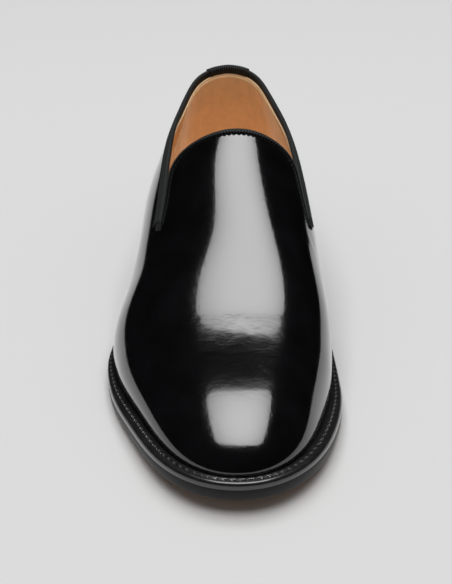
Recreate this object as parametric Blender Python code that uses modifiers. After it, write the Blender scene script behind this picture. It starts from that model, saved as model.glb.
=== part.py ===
"""Plain slip-on dress loafer for the right foot, built the way the shoe is made.

A hollow leather upper stands on a stitched welt, an outsole and a stacked heel, with an insole inside. Its
collar is bound in ribbon: one length runs round the quarters, one over the throat, and a tab covers the back.
The toe points along -Y, the big toe side is +X, and the shoe stands on Z = 0.
"""

import math

import bmesh
import bpy
import numpy as np

MM = 0.001

# Driving sizes of the last, in millimetres
LAST_LENGTH = 294.0
BALL_WIDTH = 102.0
INSTEP_HEIGHT = 76.0
HEEL_LEVEL = 31.0

# Sections of the last, heel to toe. Shares of the length (along), of the ball width (centre, half_width, lean,
# bulge and skew), of the heel level (level) and of the instep height (crown). Skew makes the bulge larger on the
# big toe side. Fullness is the section's exponent.
SECTION_COLUMNS = ("along", "centre", "half_width", "level", "crown", "lean", "bulge", "skew", "fullness")
SECTIONS = (
    (0.000, -0.0094, 0.2639, 1.0000, 1.6747, 0.0, 0.0093, -0.0077, 1.439),
    (0.126, 0.0022, 0.3076, 0.9740, 1.6442, -0.0195, 0.0115, -0.0007, 1.285),
    (0.245, -0.0046, 0.2935, 0.8840, 1.3980, 0.0163, 0.0463, 0.0013, 1.732),
    (0.364, -0.0009, 0.3533, 0.6610, 1.1750, 0.0692, 0.0817, -0.0289, 1.892),
    (0.483, -0.0237, 0.3901, 0.4390, 0.9738, 0.0784, 0.0708, -0.0042, 2.325),
    (0.602, -0.0114, 0.4769, 0.2970, 0.7721, 0.1047, 0.0164, -0.0252, 2.265),
    (0.687, -0.0123, 0.5000, 0.2770, 0.6082, 0.1021, 0.0029, -0.0301, 2.486),
    (0.772, 0.0133, 0.4626, 0.3060, 0.4478, 0.0776, 0.0074, -0.0342, 2.478),
    (0.874, 0.0540, 0.4066, 0.4060, 0.3632, 0.0495, 0.0091, -0.0369, 2.064),
    (1.000, 0.0739, 0.4139, 0.5250, 0.3307, 0.0165, 0.0095, 0.0, 1.607),
)

# Where the plan outline starts to round in towards the heel and the toe, and how square each end is
HEEL_CENTRE = 39.0
TOE_CENTRE = 224.3
HEEL_SQUARENESS = 2.164
TOE_SQUARENESS = 2.05
TOE_BULGE_SHARE = 0.6

# Collar, in millimetres above the feather edge, against the share of the way from the back to the slit's end.
# Ribs run 0 at the back, 1 at the heel centre, 2 at the toe centre and 3 at the toe tip.
QUARTER_COLUMNS = ("share", "lateral_height", "medial_height")
QUARTER_EDGE = (
    (0.000, 64.0, 64.0),
    (0.200, 62.8, 63.1),
    (0.350, 61.3, 61.9),
    (0.500, 59.8, 61.0),
    (0.600, 59.7, 61.0),
    (0.700, 61.3, 62.1),
    (0.780, 63.0, 64.0),
    (0.850, 63.0, 63.7),
    (0.900, 60.5, 59.8),
    (0.950, 55.2, 54.0),
    (1.000, 47.6, 46.5),
)
SLIT_RIB = {-1: 1.684, 1: 1.663}
SLIT_WIDTH = 3.0
THROAT_ALONG = 129.5
THROAT_SQUARENESS = {-1: 6.8, 1: 9.8}

# Pieces
WALL = 1.8
GAP = 0.3
SEAT_GAP = 0.45
WELT_THICKNESS = 2.85
WELT_INSET = 9.0
WELT_ROUND = 0.9
OUTSOLE_THICKNESS = 5.15
OUTSOLE_ROUND = 1.4
INSOLE_THICKNESS = 3.0
INSOLE_INSET = WALL + 1.7
TOP_PIECE_HEIGHT = 6.0
HEEL_TAPER = 1.6
BREAST_ALONG = 69.0
BREAST_HOLLOW = 4.0
RIBBON = 0.5
RIBBON_OUTER_DROP = 4.2
RIBBON_INNER_DROP = 3.8
RIBBON_END = 0.975
TAB_HALF_LENGTH = 13.5
TAB_OUTER_DROP = 6.4
TAB_INNER_DROP = 5.6

# How far the sole stands out past the upper, in millimetres, against the distance along the last
SOLE_EDGE_COLUMNS = ("along", "projection")
SOLE_EDGE = (
    (0.0, 3.0),
    (60.0, 2.6),
    (107.0, 2.3),
    (147.0, 2.8),
    (177.0, 2.2),
    (202.0, 2.5),
    (240.0, 5.6),
    (294.0, 4.6),
)

# Mesh counts
HEEL_RIBS = 8
QUARTER_RIBS = 22
VAMP_RIBS = 8
TOE_RIBS = 10
WALL_ROWS = 11
CROWN_ROWS = 7
TONGUE_ROWS = 8
OUTLINE_HEEL = 9
OUTLINE_MIDDLE = 16
OUTLINE_TOE = 14

BLACK_LEATHER = ("polished_black_calf", (0.010, 0.010, 0.011), 0.12)
BLACK_RIBBON = ("black_grosgrain_ribbon", (0.020, 0.020, 0.021), 0.75)
BLACK_WELT = ("black_welt_leather", (0.016, 0.016, 0.017), 0.45)
BLACK_EDGE = ("inked_sole_leather", (0.022, 0.022, 0.024), 0.40)
BLACK_RUBBER = ("heel_rubber", (0.025, 0.025, 0.025), 0.80)
TAN_LEATHER = ("tan_lining_leather", (0.420, 0.215, 0.085), 0.70)


def natural_spline(knots, values):
    """A function that is the natural cubic spline through (knots, values)."""
    x = np.asarray(knots, float)
    y = np.asarray(values, float)
    step = np.diff(x)
    slope = np.diff(y) / step
    count = len(x)
    matrix = np.eye(count)
    right = np.zeros(count)
    for i in range(1, count - 1):
        matrix[i, i - 1 : i + 2] = step[i - 1], 2 * (step[i - 1] + step[i]), step[i]
        right[i] = 6 * (slope[i] - slope[i - 1])
    bend = np.linalg.solve(matrix, right)

    def value(at):
        at = np.asarray(at, float)
        i = np.clip(np.searchsorted(x, at) - 1, 0, count - 2)
        left, after, h = at - x[i], x[i + 1] - at, step[i]
        curve = (bend[i] * after**3 + bend[i + 1] * left**3) / (6 * h)
        line = (y[i] / h - bend[i] * h / 6) * after + (y[i + 1] / h - bend[i + 1] * h / 6) * left
        return curve + line

    return value


def section_splines():
    """One spline in millimetres for each column of SECTIONS."""
    table = np.array(SECTIONS)
    along = table[:, 0] * LAST_LENGTH
    scale = {"level": HEEL_LEVEL, "crown": INSTEP_HEIGHT, "fullness": 1.0}
    return {
        name: natural_spline(along, table[:, i] * scale.get(name, BALL_WIDTH))
        for i, name in enumerate(SECTION_COLUMNS)
        if name != "along"
    }


LAST = section_splines()
SOLE_EDGE_CURVE = dict(zip(SOLE_EDGE_COLUMNS, np.array(SOLE_EDGE).T))
SOLE_PROJECTION = natural_spline(SOLE_EDGE_CURVE["along"], SOLE_EDGE_CURVE["projection"])


def rib_of(along):
    """The rib number of a distance along the straight part of the last."""
    return 1 + (along - HEEL_CENTRE) / (TOE_CENTRE - HEEL_CENTRE)


def last_point(rib, side, level):
    """Points (along, across, up) on the outside of the last.

    A rib runs from the feather edge (level 0) to the crown (level 1). Its section is a superellipse with a
    bulge. Ribs fan out from the heel centre and the toe centre, and run straight across between them.
    """
    rib, side, level = np.broadcast_arrays(*(np.asarray(a, float) for a in (rib, side, level)))
    heel_turn = np.clip(rib, 0, 1) * math.pi / 2
    toe_turn = np.clip(rib - 2, 0, 1) * math.pi / 2
    back = np.where(rib < 1, np.cos(heel_turn), 0) ** (2 / HEEL_SQUARENESS)
    front = np.where(rib > 2, np.sin(toe_turn), 0) ** (2 / TOE_SQUARENESS)
    outward = np.sin(heel_turn) ** (2 / HEEL_SQUARENESS) * np.abs(np.cos(toe_turn)) ** (2 / TOE_SQUARENESS)
    root = HEEL_CENTRE + np.clip(rib - 1, 0, 1) * (TOE_CENTRE - HEEL_CENTRE)
    foot = root - back * HEEL_CENTRE + front * (LAST_LENGTH - TOE_CENTRE)
    exponent = 2 / LAST["fullness"](foot)
    turn = np.clip(level, 0, 1) * math.pi / 2
    rise = np.sin(turn) ** exponent
    reach = np.abs(np.cos(turn)) ** exponent
    along = root + reach * (foot - root)
    swell = LAST["bulge"](along) + side * outward * LAST["skew"](along)
    swell = swell * 6.75 * level * (1 - level) ** 2
    along = along + swell * (TOE_BULGE_SHARE * front - back)
    across = LAST["centre"](along) + LAST["lean"](along) * rise
    across = across + side * outward * (reach * LAST["half_width"](along) + swell)
    return np.stack([along, across, LAST["level"](along) + LAST["crown"](along) * rise], -1)


def level_at_height(rib, side, height):
    """The level at which a rib stands this far above its feather edge."""
    levels = np.linspace(0, 0.8, 161)
    rise = last_point(rib, side, levels)[:, 2]
    return float(np.interp(height, rise - rise[0], levels))


def slit_half_level(side):
    """Half the slit's width, as a share of the rib that it cuts."""
    rib = last_point(SLIT_RIB[side], side, np.linspace(0, 1, 60))
    return SLIT_WIDTH / 2 / np.linalg.norm(np.diff(rib, axis=0), axis=1).sum()


def quarter_ribs():
    """Ribs from the back to a slit, evenly spread along the collar on each side."""
    return {
        side: np.r_[
            np.linspace(0, 1, HEEL_RIBS, endpoint=False), np.linspace(1, SLIT_RIB[side], QUARTER_RIBS + 1)
        ]
        for side in (-1, 1)
    }


def collar_levels(side, ribs):
    """The level of the collar's line on each of these ribs. Along the slit it is the slit's middle line."""
    table = np.array(QUARTER_EDGE)
    column = QUARTER_COLUMNS.index("lateral_height" if side < 0 else "medial_height")
    height = natural_spline(table[:, 0] * SLIT_RIB[side], table[:, column])
    ribs = np.asarray(ribs, float)
    return np.array([level_at_height(r, side, height(r)) for r in ribs.ravel()]).reshape(ribs.shape)


def quarter_levels(side, ribs):
    """The level of the quarter's edge on each of these ribs, half the slit's width below its middle line."""
    return collar_levels(side, ribs) - slit_half_level(side) * (np.asarray(ribs) / SLIT_RIB[side]) ** 2


def tongue_map(back, across):
    """Ribs, sides and levels on the tongue, whose sides follow the slits.

    Back runs 0 at the slits to 1 at the throat. Across runs -1 at the lateral slit to 1 at the medial one.
    """
    back, across = np.broadcast_arrays(np.asarray(back, float), np.asarray(across, float))
    side = np.where(across < 0, -1.0, 1.0)
    rib = SLIT_RIB[-1] + (SLIT_RIB[1] - SLIT_RIB[-1]) * (across + 1) / 2
    rib = rib + back * (rib_of(THROAT_ALONG) - rib)
    lateral, medial = (
        collar_levels(s, np.minimum(rib, SLIT_RIB[s])) + slit_half_level(s) for s in (-1, 1)
    )
    return rib, side, 1 - np.abs(across) * (1 - np.where(across < 0, lateral, medial))


def tongue_edge(turn):
    """The throat's edge from the lateral slit (turn -1) over the crown (0) to the medial slit (1).

    Each half is a quarter of a superellipse, spread so that its side and its top get points alike.
    """
    turn = np.asarray(turn, float)
    square = np.where(turn < 0, THROAT_SQUARENESS[-1], THROAT_SQUARENESS[1])
    corner = 2 ** (-1 / square)
    share = np.abs(turn)
    top = np.clip(share * 2, 0, 1) * corner
    side = np.clip(2 - share * 2, 0, 1) * corner
    across = np.where(share < 0.5, top, (1 - side**square) ** (1 / square))
    back = np.where(share < 0.5, (1 - top**square) ** (1 / square), side)
    return back, np.sign(turn) * across


def tongue_grid(rows, columns):
    """A transfinite patch over the tongue: rows from the slits to the throat, columns across it."""
    down = np.linspace(0, 1, rows + 1)[:, None]
    over = np.linspace(0, 1, columns + 1)[None]
    left = np.stack(tongue_edge(-1 + down / 2), -1)
    right = np.stack(tongue_edge(1 - down / 2), -1)
    base = np.stack([np.zeros_like(over), 2 * over - 1], -1)
    top = np.stack(tongue_edge(over - 0.5), -1)
    d, o = down[..., None], over[..., None]
    near = (1 - o) * base[:, :1] + o * base[:, -1:]
    far = (1 - o) * top[:, :1] + o * top[:, -1:]
    return (1 - o) * left + o * right + (1 - d) * base + d * top - (1 - d) * near - d * far


def frame_offset():
    """The middle of the sole's outline, which becomes the shoe's origin."""
    loop = outline_loop(0.0)
    return (loop.max(0) + loop.min(0)) / 2


def to_frame(points):
    """Millimetres along, across and up, as metres in the shoe's frame."""
    points = np.asarray(points, float)
    along, across = points[..., 0] - ORIGIN[0], points[..., 1] - ORIGIN[1]
    return np.stack([across, -along, points[..., 2]], -1) * MM


def outline_loop(inset, feather_inset=None):
    """The sole's plan outline, back to toe on the lateral side and home on the medial side.

    The loop is the feather edge moved out by the sole's projection less inset, or in by feather_inset.
    """
    ribs = np.r_[
        np.linspace(0, 1, OUTLINE_HEEL, endpoint=False),
        np.linspace(1, 2, OUTLINE_MIDDLE, endpoint=False),
        np.linspace(2, 3, OUTLINE_TOE + 1),
    ]
    lateral = last_point(ribs, -1, 0)[:, :2]
    medial = last_point(ribs, 1, 0)[-2:0:-1, :2]
    loop = np.r_[lateral, medial]
    chord = np.roll(loop, -1, 0) - np.roll(loop, 1, 0)
    normal = np.stack([-chord[:, 1], chord[:, 0]], -1)
    normal /= -np.linalg.norm(normal, axis=1, keepdims=True)
    out = SOLE_PROJECTION(loop[:, 0]) - inset if feather_inset is None else np.full(len(loop), -feather_inset)
    return loop + normal * out[:, None]


def feather_level(along):
    """How high the feather edge lies, this far along the last."""
    return LAST["level"](along)


def outsole_top(along):
    """The outsole's upper face, under the welt."""
    return feather_level(along) - SEAT_GAP - WELT_THICKNESS - GAP


def outsole_bottom(along):
    """The outsole's lower face, flat on the floor under the ball."""
    return np.maximum(outsole_top(along) - OUTSOLE_THICKNESS, 0.0)


def new_object(name, mesh, finish, smooth_angle=40):
    """A named object with its own material, in the shoe's collection."""
    colour_name, colour, roughness = finish
    material = bpy.data.materials.new(name + "_" + colour_name)
    material.use_nodes = True
    shader = material.node_tree.nodes["Principled BSDF"]
    shader.inputs["Base Color"].default_value = (*colour, 1.0)
    shader.inputs["Roughness"].default_value = roughness
    mesh.materials.append(material)
    mesh.shade_smooth()
    mesh.set_sharp_from_angle(angle=math.radians(smooth_angle))
    obj = bpy.data.objects.new(name, mesh)
    obj.parent = ROOT
    COLLECTION.objects.link(obj)
    return obj


def mesh_from(name, points, faces):
    """A mesh with its doubles merged and its faces pointing out."""
    work = bmesh.new()
    vertices = [work.verts.new(p) for p in to_frame(points)]
    for face in faces:
        work.faces.new([vertices[i] for i in face])
    bmesh.ops.remove_doubles(work, verts=work.verts, dist=1e-6)
    bmesh.ops.recalc_face_normals(work, faces=work.faces)
    mesh = bpy.data.meshes.new(name)
    work.to_mesh(mesh)
    work.free()
    return mesh


def grid_faces(index, wrap=False):
    """Quads between the rows of a grid of point numbers. Wrap joins the last column to the first."""
    if wrap:
        index = np.c_[index, index[:, :1]]
    quads = np.stack([index[:-1, :-1], index[:-1, 1:], index[1:, 1:], index[1:, :-1]], -1)
    return [list(dict.fromkeys(q)) for q in quads.reshape(-1, 4).tolist()]


def tube(name, rings, finish, closed=False):
    """A solid swept through rings of section points. An open one gets its two ends capped."""
    rings = np.asarray(rings)
    count, around = rings.shape[:2]
    index = np.arange(count * around).reshape(count, around)
    faces = grid_faces(np.r_[index, index[:1]] if closed else index, wrap=True)
    if not closed:
        faces += [index[0].tolist(), index[-1].tolist()]
    return new_object(name, mesh_from(name, rings.reshape(-1, 3), faces), finish)


def slab(name, rings, finish):
    """A plate whose edge runs through rings of outline points, bottom to top, with both faces closed."""
    rings = np.asarray(rings)
    count, around = rings.shape[:2]
    index = np.arange(count * around).reshape(count, around)
    faces = grid_faces(index, wrap=True)
    half = around // 2
    for loop in (index[0], index[-1]):
        pairs = np.stack([loop[: half + 1], np.r_[loop[0], loop[: half - 1 : -1]]], -1)
        faces += grid_faces(pairs)
    return new_object(name, mesh_from(name, rings.reshape(-1, 3), [f for f in faces if len(f) > 2]), finish)


def with_height(loop, height):
    """Plan points lifted to a height in millimetres."""
    return np.c_[loop, np.broadcast_to(height, len(loop))]


def make_upper():
    """The upper: an open sheet over the last, thickened inwards, open at the collar and underneath."""
    points, blocks = [], []

    def add(block):
        start = sum(len(p) for p in points)
        points.append(block.reshape(-1, 3))
        blocks.append(start + np.arange(block.shape[0] * block.shape[1]).reshape(block.shape[:2]))

    wall = np.linspace(0, 1, WALL_ROWS + 1)
    for side, ribs in quarter_ribs().items():
        edge = quarter_levels(side, ribs)
        add(last_point(ribs[:, None], side, edge[:, None] * wall[None]))

    crown = np.linspace(-1, 1, 2 * CROWN_ROWS + 1)
    low = {side: quarter_levels(side, SLIT_RIB[side]) * wall for side in (-1, 1)}
    base_rib, base_side, base_level = tongue_map(0, crown)
    across_side = np.r_[np.full(WALL_ROWS + 1, -1.0), base_side, np.full(WALL_ROWS + 1, 1.0)]
    across_level = np.r_[low[-1], base_level, low[1][::-1]]
    start_rib = np.r_[np.full(WALL_ROWS + 1, SLIT_RIB[-1]), base_rib, np.full(WALL_ROWS + 1, SLIT_RIB[1])]
    forward = np.linspace(0, 1, VAMP_RIBS, endpoint=False)[:, None]
    straight = start_rib[None] + forward * (2 - start_rib[None])
    fan = np.repeat(np.linspace(2, 3, TOE_RIBS + 1)[:, None], len(start_rib), 1)
    matched = (across_level + across_level[::-1]) / 2
    evened = np.r_[forward, np.ones((TOE_RIBS + 1, 1))]
    vamp_level = across_level[None] + evened * (matched - across_level)[None]
    add(last_point(np.r_[straight, fan], across_side[None], vamp_level))

    patch = tongue_grid(TONGUE_ROWS, 2 * CROWN_ROWS)
    add(last_point(*tongue_map(patch[..., 0], patch[..., 1])))

    faces = [f for block in blocks for f in grid_faces(block)]
    upper = new_object("upper", mesh_from("upper", np.concatenate(points), faces), BLACK_LEATHER)
    solidify = upper.modifiers.new("wall", "SOLIDIFY")
    solidify.thickness = WALL * MM
    solidify.offset = -1
    solidify.use_even_offset = True
    return upper


def axis_point(points):
    """The point on the shoe's inner axis below each point."""
    along = np.clip(points[..., 0], HEEL_CENTRE, TOE_CENTRE)
    return np.stack([along, LAST["centre"](along), LAST["level"](along)], -1)


def unit(vectors):
    """These vectors, each of length one."""
    return vectors / np.linalg.norm(vectors, axis=-1, keepdims=True)


def last_normal(rib, side, level, step=0.004):
    """The outward direction square to the last at these points."""
    up = last_point(rib, side, level + step) - last_point(rib, side, level - step)
    forward = last_point(rib + step, side, level) - last_point(rib - step, side, level)
    normal = unit(np.cross(forward, up))
    point = last_point(rib, side, level)
    return normal * np.sign((normal * (point - axis_point(point))).sum(-1, keepdims=True))


def quarter_edge(spread, depth):
    """Rib, side and level on the quarters, this deep below the collar.

    Spread runs from the lateral slit (-1) round the back (0) to the medial slit (1).
    """
    side = np.where(spread < 0, -1, 1)
    rib = np.abs(spread) * np.where(spread < 0, SLIT_RIB[-1], SLIT_RIB[1])
    level = np.array([quarter_levels(s, r) for s, r in zip(side, rib)])
    trial = 0.02
    drop = np.linalg.norm(last_point(rib, side, level) - last_point(rib, side, level - trial), axis=1)
    return rib, side, level - trial * depth / drop


def throat_edge(turn, depth):
    """Rib, side and level on the tongue, this deep inside the throat's edge."""
    back, across = tongue_edge(turn)
    trial = 0.04
    within = last_point(*tongue_map(back * (1 - trial), across * (1 - trial)))
    drop = np.linalg.norm(last_point(*tongue_map(back, across)) - within, axis=1)
    shrink = 1 - trial * depth / drop
    return tongue_map(back * shrink, across * shrink)


def channel(clearance, outer_drop, inner_drop):
    """The folded ribbon's section as (out of the leather, past its edge): a U that holds the wall."""
    out, over = clearance, clearance + RIBBON
    far, farther = -WALL - clearance, -WALL - clearance - RIBBON
    return (
        (out, -outer_drop),
        (over, -outer_drop),
        (over, 0.0),
        (over - RIBBON, over),
        (farther + RIBBON, over),
        (farther, 0.0),
        (farther, -inner_drop),
        (far, -inner_drop),
        (far, out),
        (out, out),
    )


def ribbon(name, edge, run, section):
    """A ribbon folded over a collar edge. Its two leaves follow the leather below the edge."""
    point, normal = last_point(*edge(run, 0.0)), last_normal(*edge(run, 0.0))
    past = unit(np.cross(normal, np.gradient(point, axis=0)))
    past *= np.sign((past * (point - last_point(*edge(run, 1.0)))).sum(1, keepdims=True))
    rings = []
    for out, beyond in section:
        place = edge(run, max(-beyond, 0.0))
        rings.append(last_point(*place) + last_normal(*place) * out + past * max(beyond, 0.0))
    return tube(name, np.stack(rings, 1), BLACK_RIBBON)


def trimmed(places):
    """These places along an edge, at the points of the upper's mesh, stopped at the ribbon's two ends."""
    return np.r_[-RIBBON_END, places[np.abs(places) < RIBBON_END - 0.01], RIBBON_END]


def make_bindings():
    """The ribbon round the quarters, the ribbon over the throat, and the tab over the back."""
    plain = channel(GAP, RIBBON_OUTER_DROP, RIBBON_INNER_DROP)
    share = {side: ribs / SLIT_RIB[side] for side, ribs in quarter_ribs().items()}
    ribbon("quarter_binding", quarter_edge, trimmed(np.r_[-share[-1][::-1], share[1][1:]]), plain)
    down = np.linspace(0, 0.5, TONGUE_ROWS + 1)
    over = np.linspace(-0.5, 0.5, 2 * CROWN_ROWS + 1)
    ribbon("throat_binding", throat_edge, trimmed(np.r_[down - 1, over[1:-1], 1 - down[::-1]]), plain)
    spread = np.linspace(-0.5, 0.5, 201)
    collar = last_point(*quarter_edge(spread, 0.0))
    run = np.r_[0, np.cumsum(np.linalg.norm(np.diff(collar, axis=0), axis=1))]
    reach = np.interp([-TAB_HALF_LENGTH, TAB_HALF_LENGTH], run - run[100], spread)
    over_binding = channel(GAP + RIBBON + GAP, TAB_OUTER_DROP, TAB_INNER_DROP)
    ribbon("heel_tab", quarter_edge, np.linspace(*reach, 13), over_binding)


def make_welt():
    """The welt: a strip that carries the upper's edge and the insole's rim, rounded on its outer edge."""
    outer, rounded, inner = outline_loop(0.0), outline_loop(WELT_ROUND), outline_loop(0.0, WELT_INSET)

    def top(loop):
        return feather_level(loop[:, 0]) - SEAT_GAP

    section = [
        with_height(inner, top(inner) - WELT_THICKNESS),
        with_height(inner, top(inner)),
        with_height(rounded, top(rounded)),
        with_height(outline_loop(WELT_ROUND * 0.3), top(outer) - WELT_ROUND * 0.3),
        with_height(outer, top(outer) - WELT_ROUND),
        with_height(outer, top(outer) - WELT_THICKNESS),
    ]
    return tube("welt", np.stack(section, 1), BLACK_WELT, closed=True)


def make_outsole():
    """The outsole: arched at the waist, sprung at the toe, with its lower edge rounded."""
    outer = outline_loop(0.0)
    trimmed = outline_loop(OUTSOLE_ROUND)
    eased = outline_loop(OUTSOLE_ROUND * 0.3)
    rings = [
        with_height(trimmed, outsole_bottom(trimmed[:, 0])),
        with_height(eased, outsole_bottom(eased[:, 0]) + OUTSOLE_ROUND * 0.3),
        with_height(outer, outsole_bottom(outer[:, 0]) + OUTSOLE_ROUND),
        with_height(outer, outsole_top(outer[:, 0])),
    ]
    return slab("outsole", rings, BLACK_EDGE)


def make_insole():
    """The insole: a plate inside the upper that rests on the welt."""
    loop = outline_loop(0.0, INSOLE_INSET)
    base = feather_level(loop[:, 0])
    return slab("insole", [with_height(loop, base), with_height(loop, base + INSOLE_THICKNESS)], TAN_LEATHER)


def heel_loop(inset):
    """The heel's plan outline, with its breast hollowed back in the middle."""
    whole = outline_loop(inset)
    half = len(whole) // 2
    lateral, medial = whole[: half + 1], np.r_[whole[:1], whole[: half - 1 : -1]]
    along = np.r_[lateral[lateral[:, 0] < BREAST_ALONG - 4, 0], BREAST_ALONG]
    left = np.interp(along, lateral[: half // 2, 0], lateral[: half // 2, 1])
    right = np.interp(along, medial[: half // 2, 0], medial[: half // 2, 1])
    over = np.linspace(0, 1, 9)[1:-1]
    hollow = BREAST_ALONG - BREAST_HOLLOW * 4 * over * (1 - over)
    breast = np.c_[hollow, left[-1] + over * (right[-1] - left[-1])]
    return np.r_[np.c_[along, left], breast, np.c_[along, right][:0:-1]]


def heel_solid(name, rings, finish):
    """A block with the heel's outline at each level, closed by flat or sloping faces."""
    rings = np.asarray(rings)
    count, around = rings.shape[:2]
    index = np.arange(count * around).reshape(count, around)
    faces = grid_faces(index, wrap=True) + [index[0].tolist(), index[-1].tolist()]
    return new_object(name, mesh_from(name, rings.reshape(-1, 3), faces), finish)


def make_heel():
    """The stacked heel under the outsole and the rubber top piece that it stands on."""
    top, middle, foot = heel_loop(0.4), heel_loop(HEEL_TAPER * 0.6), heel_loop(HEEL_TAPER)
    upper_face = outsole_top(top[:, 0]) - OUTSOLE_THICKNESS - GAP
    waist = (TOP_PIECE_HEIGHT + GAP + upper_face) / 2
    stack = [with_height(foot, TOP_PIECE_HEIGHT + GAP), with_height(middle, waist), with_height(top, upper_face)]
    heel_solid("heel_stack", stack, BLACK_EDGE)
    lift = [with_height(foot, 0.0), with_height(foot, TOP_PIECE_HEIGHT)]
    heel_solid("top_piece", lift, BLACK_RUBBER)


for leftover in list(bpy.data.objects):
    bpy.data.objects.remove(leftover)
COLLECTION = bpy.data.collections.new("slip_on_loafer")
bpy.context.scene.collection.children.link(COLLECTION)
ROOT = bpy.data.objects.new("loafer", None)
COLLECTION.objects.link(ROOT)
ORIGIN = frame_offset()

make_outsole()
make_heel()
make_welt()
make_insole()
make_upper()
make_bindings()
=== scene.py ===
"""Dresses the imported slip-on loafer: upper, lining, ribbon, stitched welt, sole, heel and a studio stage.

Every piece is a surface worked out over the shoe's last, in millimetres along, across and up, and then
placed in the CAD frame in metres. The toe points along -Y, the big toe side is +X, the floor is Z = 0.
"""

import math

import bmesh
import bpy
import numpy as np
from bpy.props import FloatProperty, FloatVectorProperty, IntProperty, PointerProperty
from mathutils import Matrix, Vector


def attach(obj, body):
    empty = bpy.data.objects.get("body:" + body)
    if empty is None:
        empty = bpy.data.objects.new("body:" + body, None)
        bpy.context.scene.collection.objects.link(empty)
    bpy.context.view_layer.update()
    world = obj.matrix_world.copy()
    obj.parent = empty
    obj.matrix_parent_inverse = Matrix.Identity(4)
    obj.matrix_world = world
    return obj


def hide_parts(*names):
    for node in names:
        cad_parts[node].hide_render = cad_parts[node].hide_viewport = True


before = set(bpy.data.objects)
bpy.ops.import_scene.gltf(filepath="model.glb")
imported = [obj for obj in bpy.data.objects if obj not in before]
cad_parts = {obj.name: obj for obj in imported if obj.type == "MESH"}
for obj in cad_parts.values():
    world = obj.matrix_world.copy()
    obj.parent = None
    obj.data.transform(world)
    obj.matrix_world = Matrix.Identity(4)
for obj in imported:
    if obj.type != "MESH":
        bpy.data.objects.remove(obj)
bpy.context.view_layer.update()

bl_info = {
    "name": "Slip-on loafer",
    "version": (1, 0, 0),
    "blender": (4, 5, 0),
    "location": "3D View > Sidebar > Loafer",
    "description": "Builds the finished pieces of a slip-on loafer over its CAD frame",
    "category": "Add Mesh",
}

MM = 0.001
LATERAL, MEDIAL = -1, 1

# Sections of the last, heel to toe. Shares of the length (along), of the ball width (centre, half_width,
# lean, bulge and skew), of the heel level (level) and of the instep height (crown). A skew over 0 makes the
# bulge larger on the big toe side, and one under 0 on the other. Fullness is the section's exponent.
SECTION_COLUMNS = ("along", "centre", "half_width", "level", "crown", "lean", "bulge", "skew", "fullness")
SECTIONS = (
    (0.000, -0.0094, 0.2639, 1.0000, 1.6747, 0.0, 0.0093, -0.0077, 1.439),
    (0.126, 0.0022, 0.3076, 0.9740, 1.6442, -0.0195, 0.0115, -0.0007, 1.285),
    (0.245, -0.0046, 0.2935, 0.8840, 1.3980, 0.0163, 0.0463, 0.0013, 1.732),
    (0.364, -0.0009, 0.3533, 0.6610, 1.1750, 0.0692, 0.0817, -0.0289, 1.892),
    (0.483, -0.0237, 0.3901, 0.4390, 0.9738, 0.0784, 0.0708, -0.0042, 2.325),
    (0.602, -0.0114, 0.4769, 0.2970, 0.7721, 0.1047, 0.0164, -0.0252, 2.265),
    (0.687, -0.0123, 0.5000, 0.2770, 0.6082, 0.1021, 0.0029, -0.0301, 2.486),
    (0.772, 0.0133, 0.4626, 0.3060, 0.4478, 0.0776, 0.0074, -0.0342, 2.478),
    (0.874, 0.0540, 0.4066, 0.4060, 0.3632, 0.0495, 0.0091, -0.0369, 2.064),
    (1.000, 0.0739, 0.4139, 0.5250, 0.3307, 0.0165, 0.0095, 0.0, 1.607),
)

# Where the plan outline starts to round in towards the heel and the toe, in millimetres, how square each end
# is, and the share of the bulge that the toe takes forward
HEEL_CENTRE = 39.0
TOE_CENTRE = 224.3
HEEL_SQUARENESS = 2.164
TOE_SQUARENESS = 2.05
TOE_BULGE_SHARE = 0.6

# Brings the peak of the bulge's curve, level times (1 - level) squared, to 1
BULGE_PEAK = 27 / 4

# Collar, in millimetres above the feather edge, against the share of the way from the back to the slit's end.
# Ribs run 0 at the back, 1 at the heel centre, 2 at the toe centre and 3 at the toe tip.
QUARTER_COLUMNS = ("share", "lateral_height", "medial_height")
QUARTER_EDGE = (
    (0.000, 64.0, 64.0),
    (0.200, 62.8, 63.1),
    (0.350, 61.3, 61.9),
    (0.500, 59.8, 61.0),
    (0.600, 59.7, 61.0),
    (0.700, 61.3, 62.1),
    (0.780, 63.0, 64.0),
    (0.850, 63.0, 63.7),
    (0.900, 60.5, 59.8),
    (0.950, 55.2, 54.0),
    (1.000, 47.6, 46.5),
)

# The ribs where the slits end, their width and the throat's distance along the last in millimetres, and how
# square the throat's corners are
SLIT_RIB = {LATERAL: 1.684, MEDIAL: 1.663}
SLIT_WIDTH = 3.0
THROAT_ALONG = 129.5
THROAT_SQUARENESS = {LATERAL: 6.8, MEDIAL: 9.8}

# Half of the tongue's width and depth, in millimetres, against which its edges are set back
TONGUE_REACH = 42.0

# Soft creases of the upper ahead of the slits: how many ribs and levels past the slit's end each lies, its
# half-length and half-width in millimetres, how far it is turned from the way to the toe, in radians, and how
# many millimetres it sinks. A depth under 0 is a ridge.
CREASE_COLUMNS = ("ahead", "side", "above", "length", "width", "turn", "depth")
CREASES = (
    (0.040, LATERAL, -0.005, 6.0, 1.5, -0.5, 0.28),
    (0.064, LATERAL, 0.025, 7.0, 1.9, -0.6, -0.20),
    (0.040, MEDIAL, -0.005, 6.0, 1.5, -0.5, 0.12),
    (0.064, MEDIAL, 0.025, 7.0, 1.9, -0.6, -0.09),
)

# Points that lie this near, in metres, are one point: on sheets, on plates and blocks, and on stitches
WELD = 0.04 * MM
PLATE_WELD = 0.002 * MM
BEAD_WELD = 0.001 * MM

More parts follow.
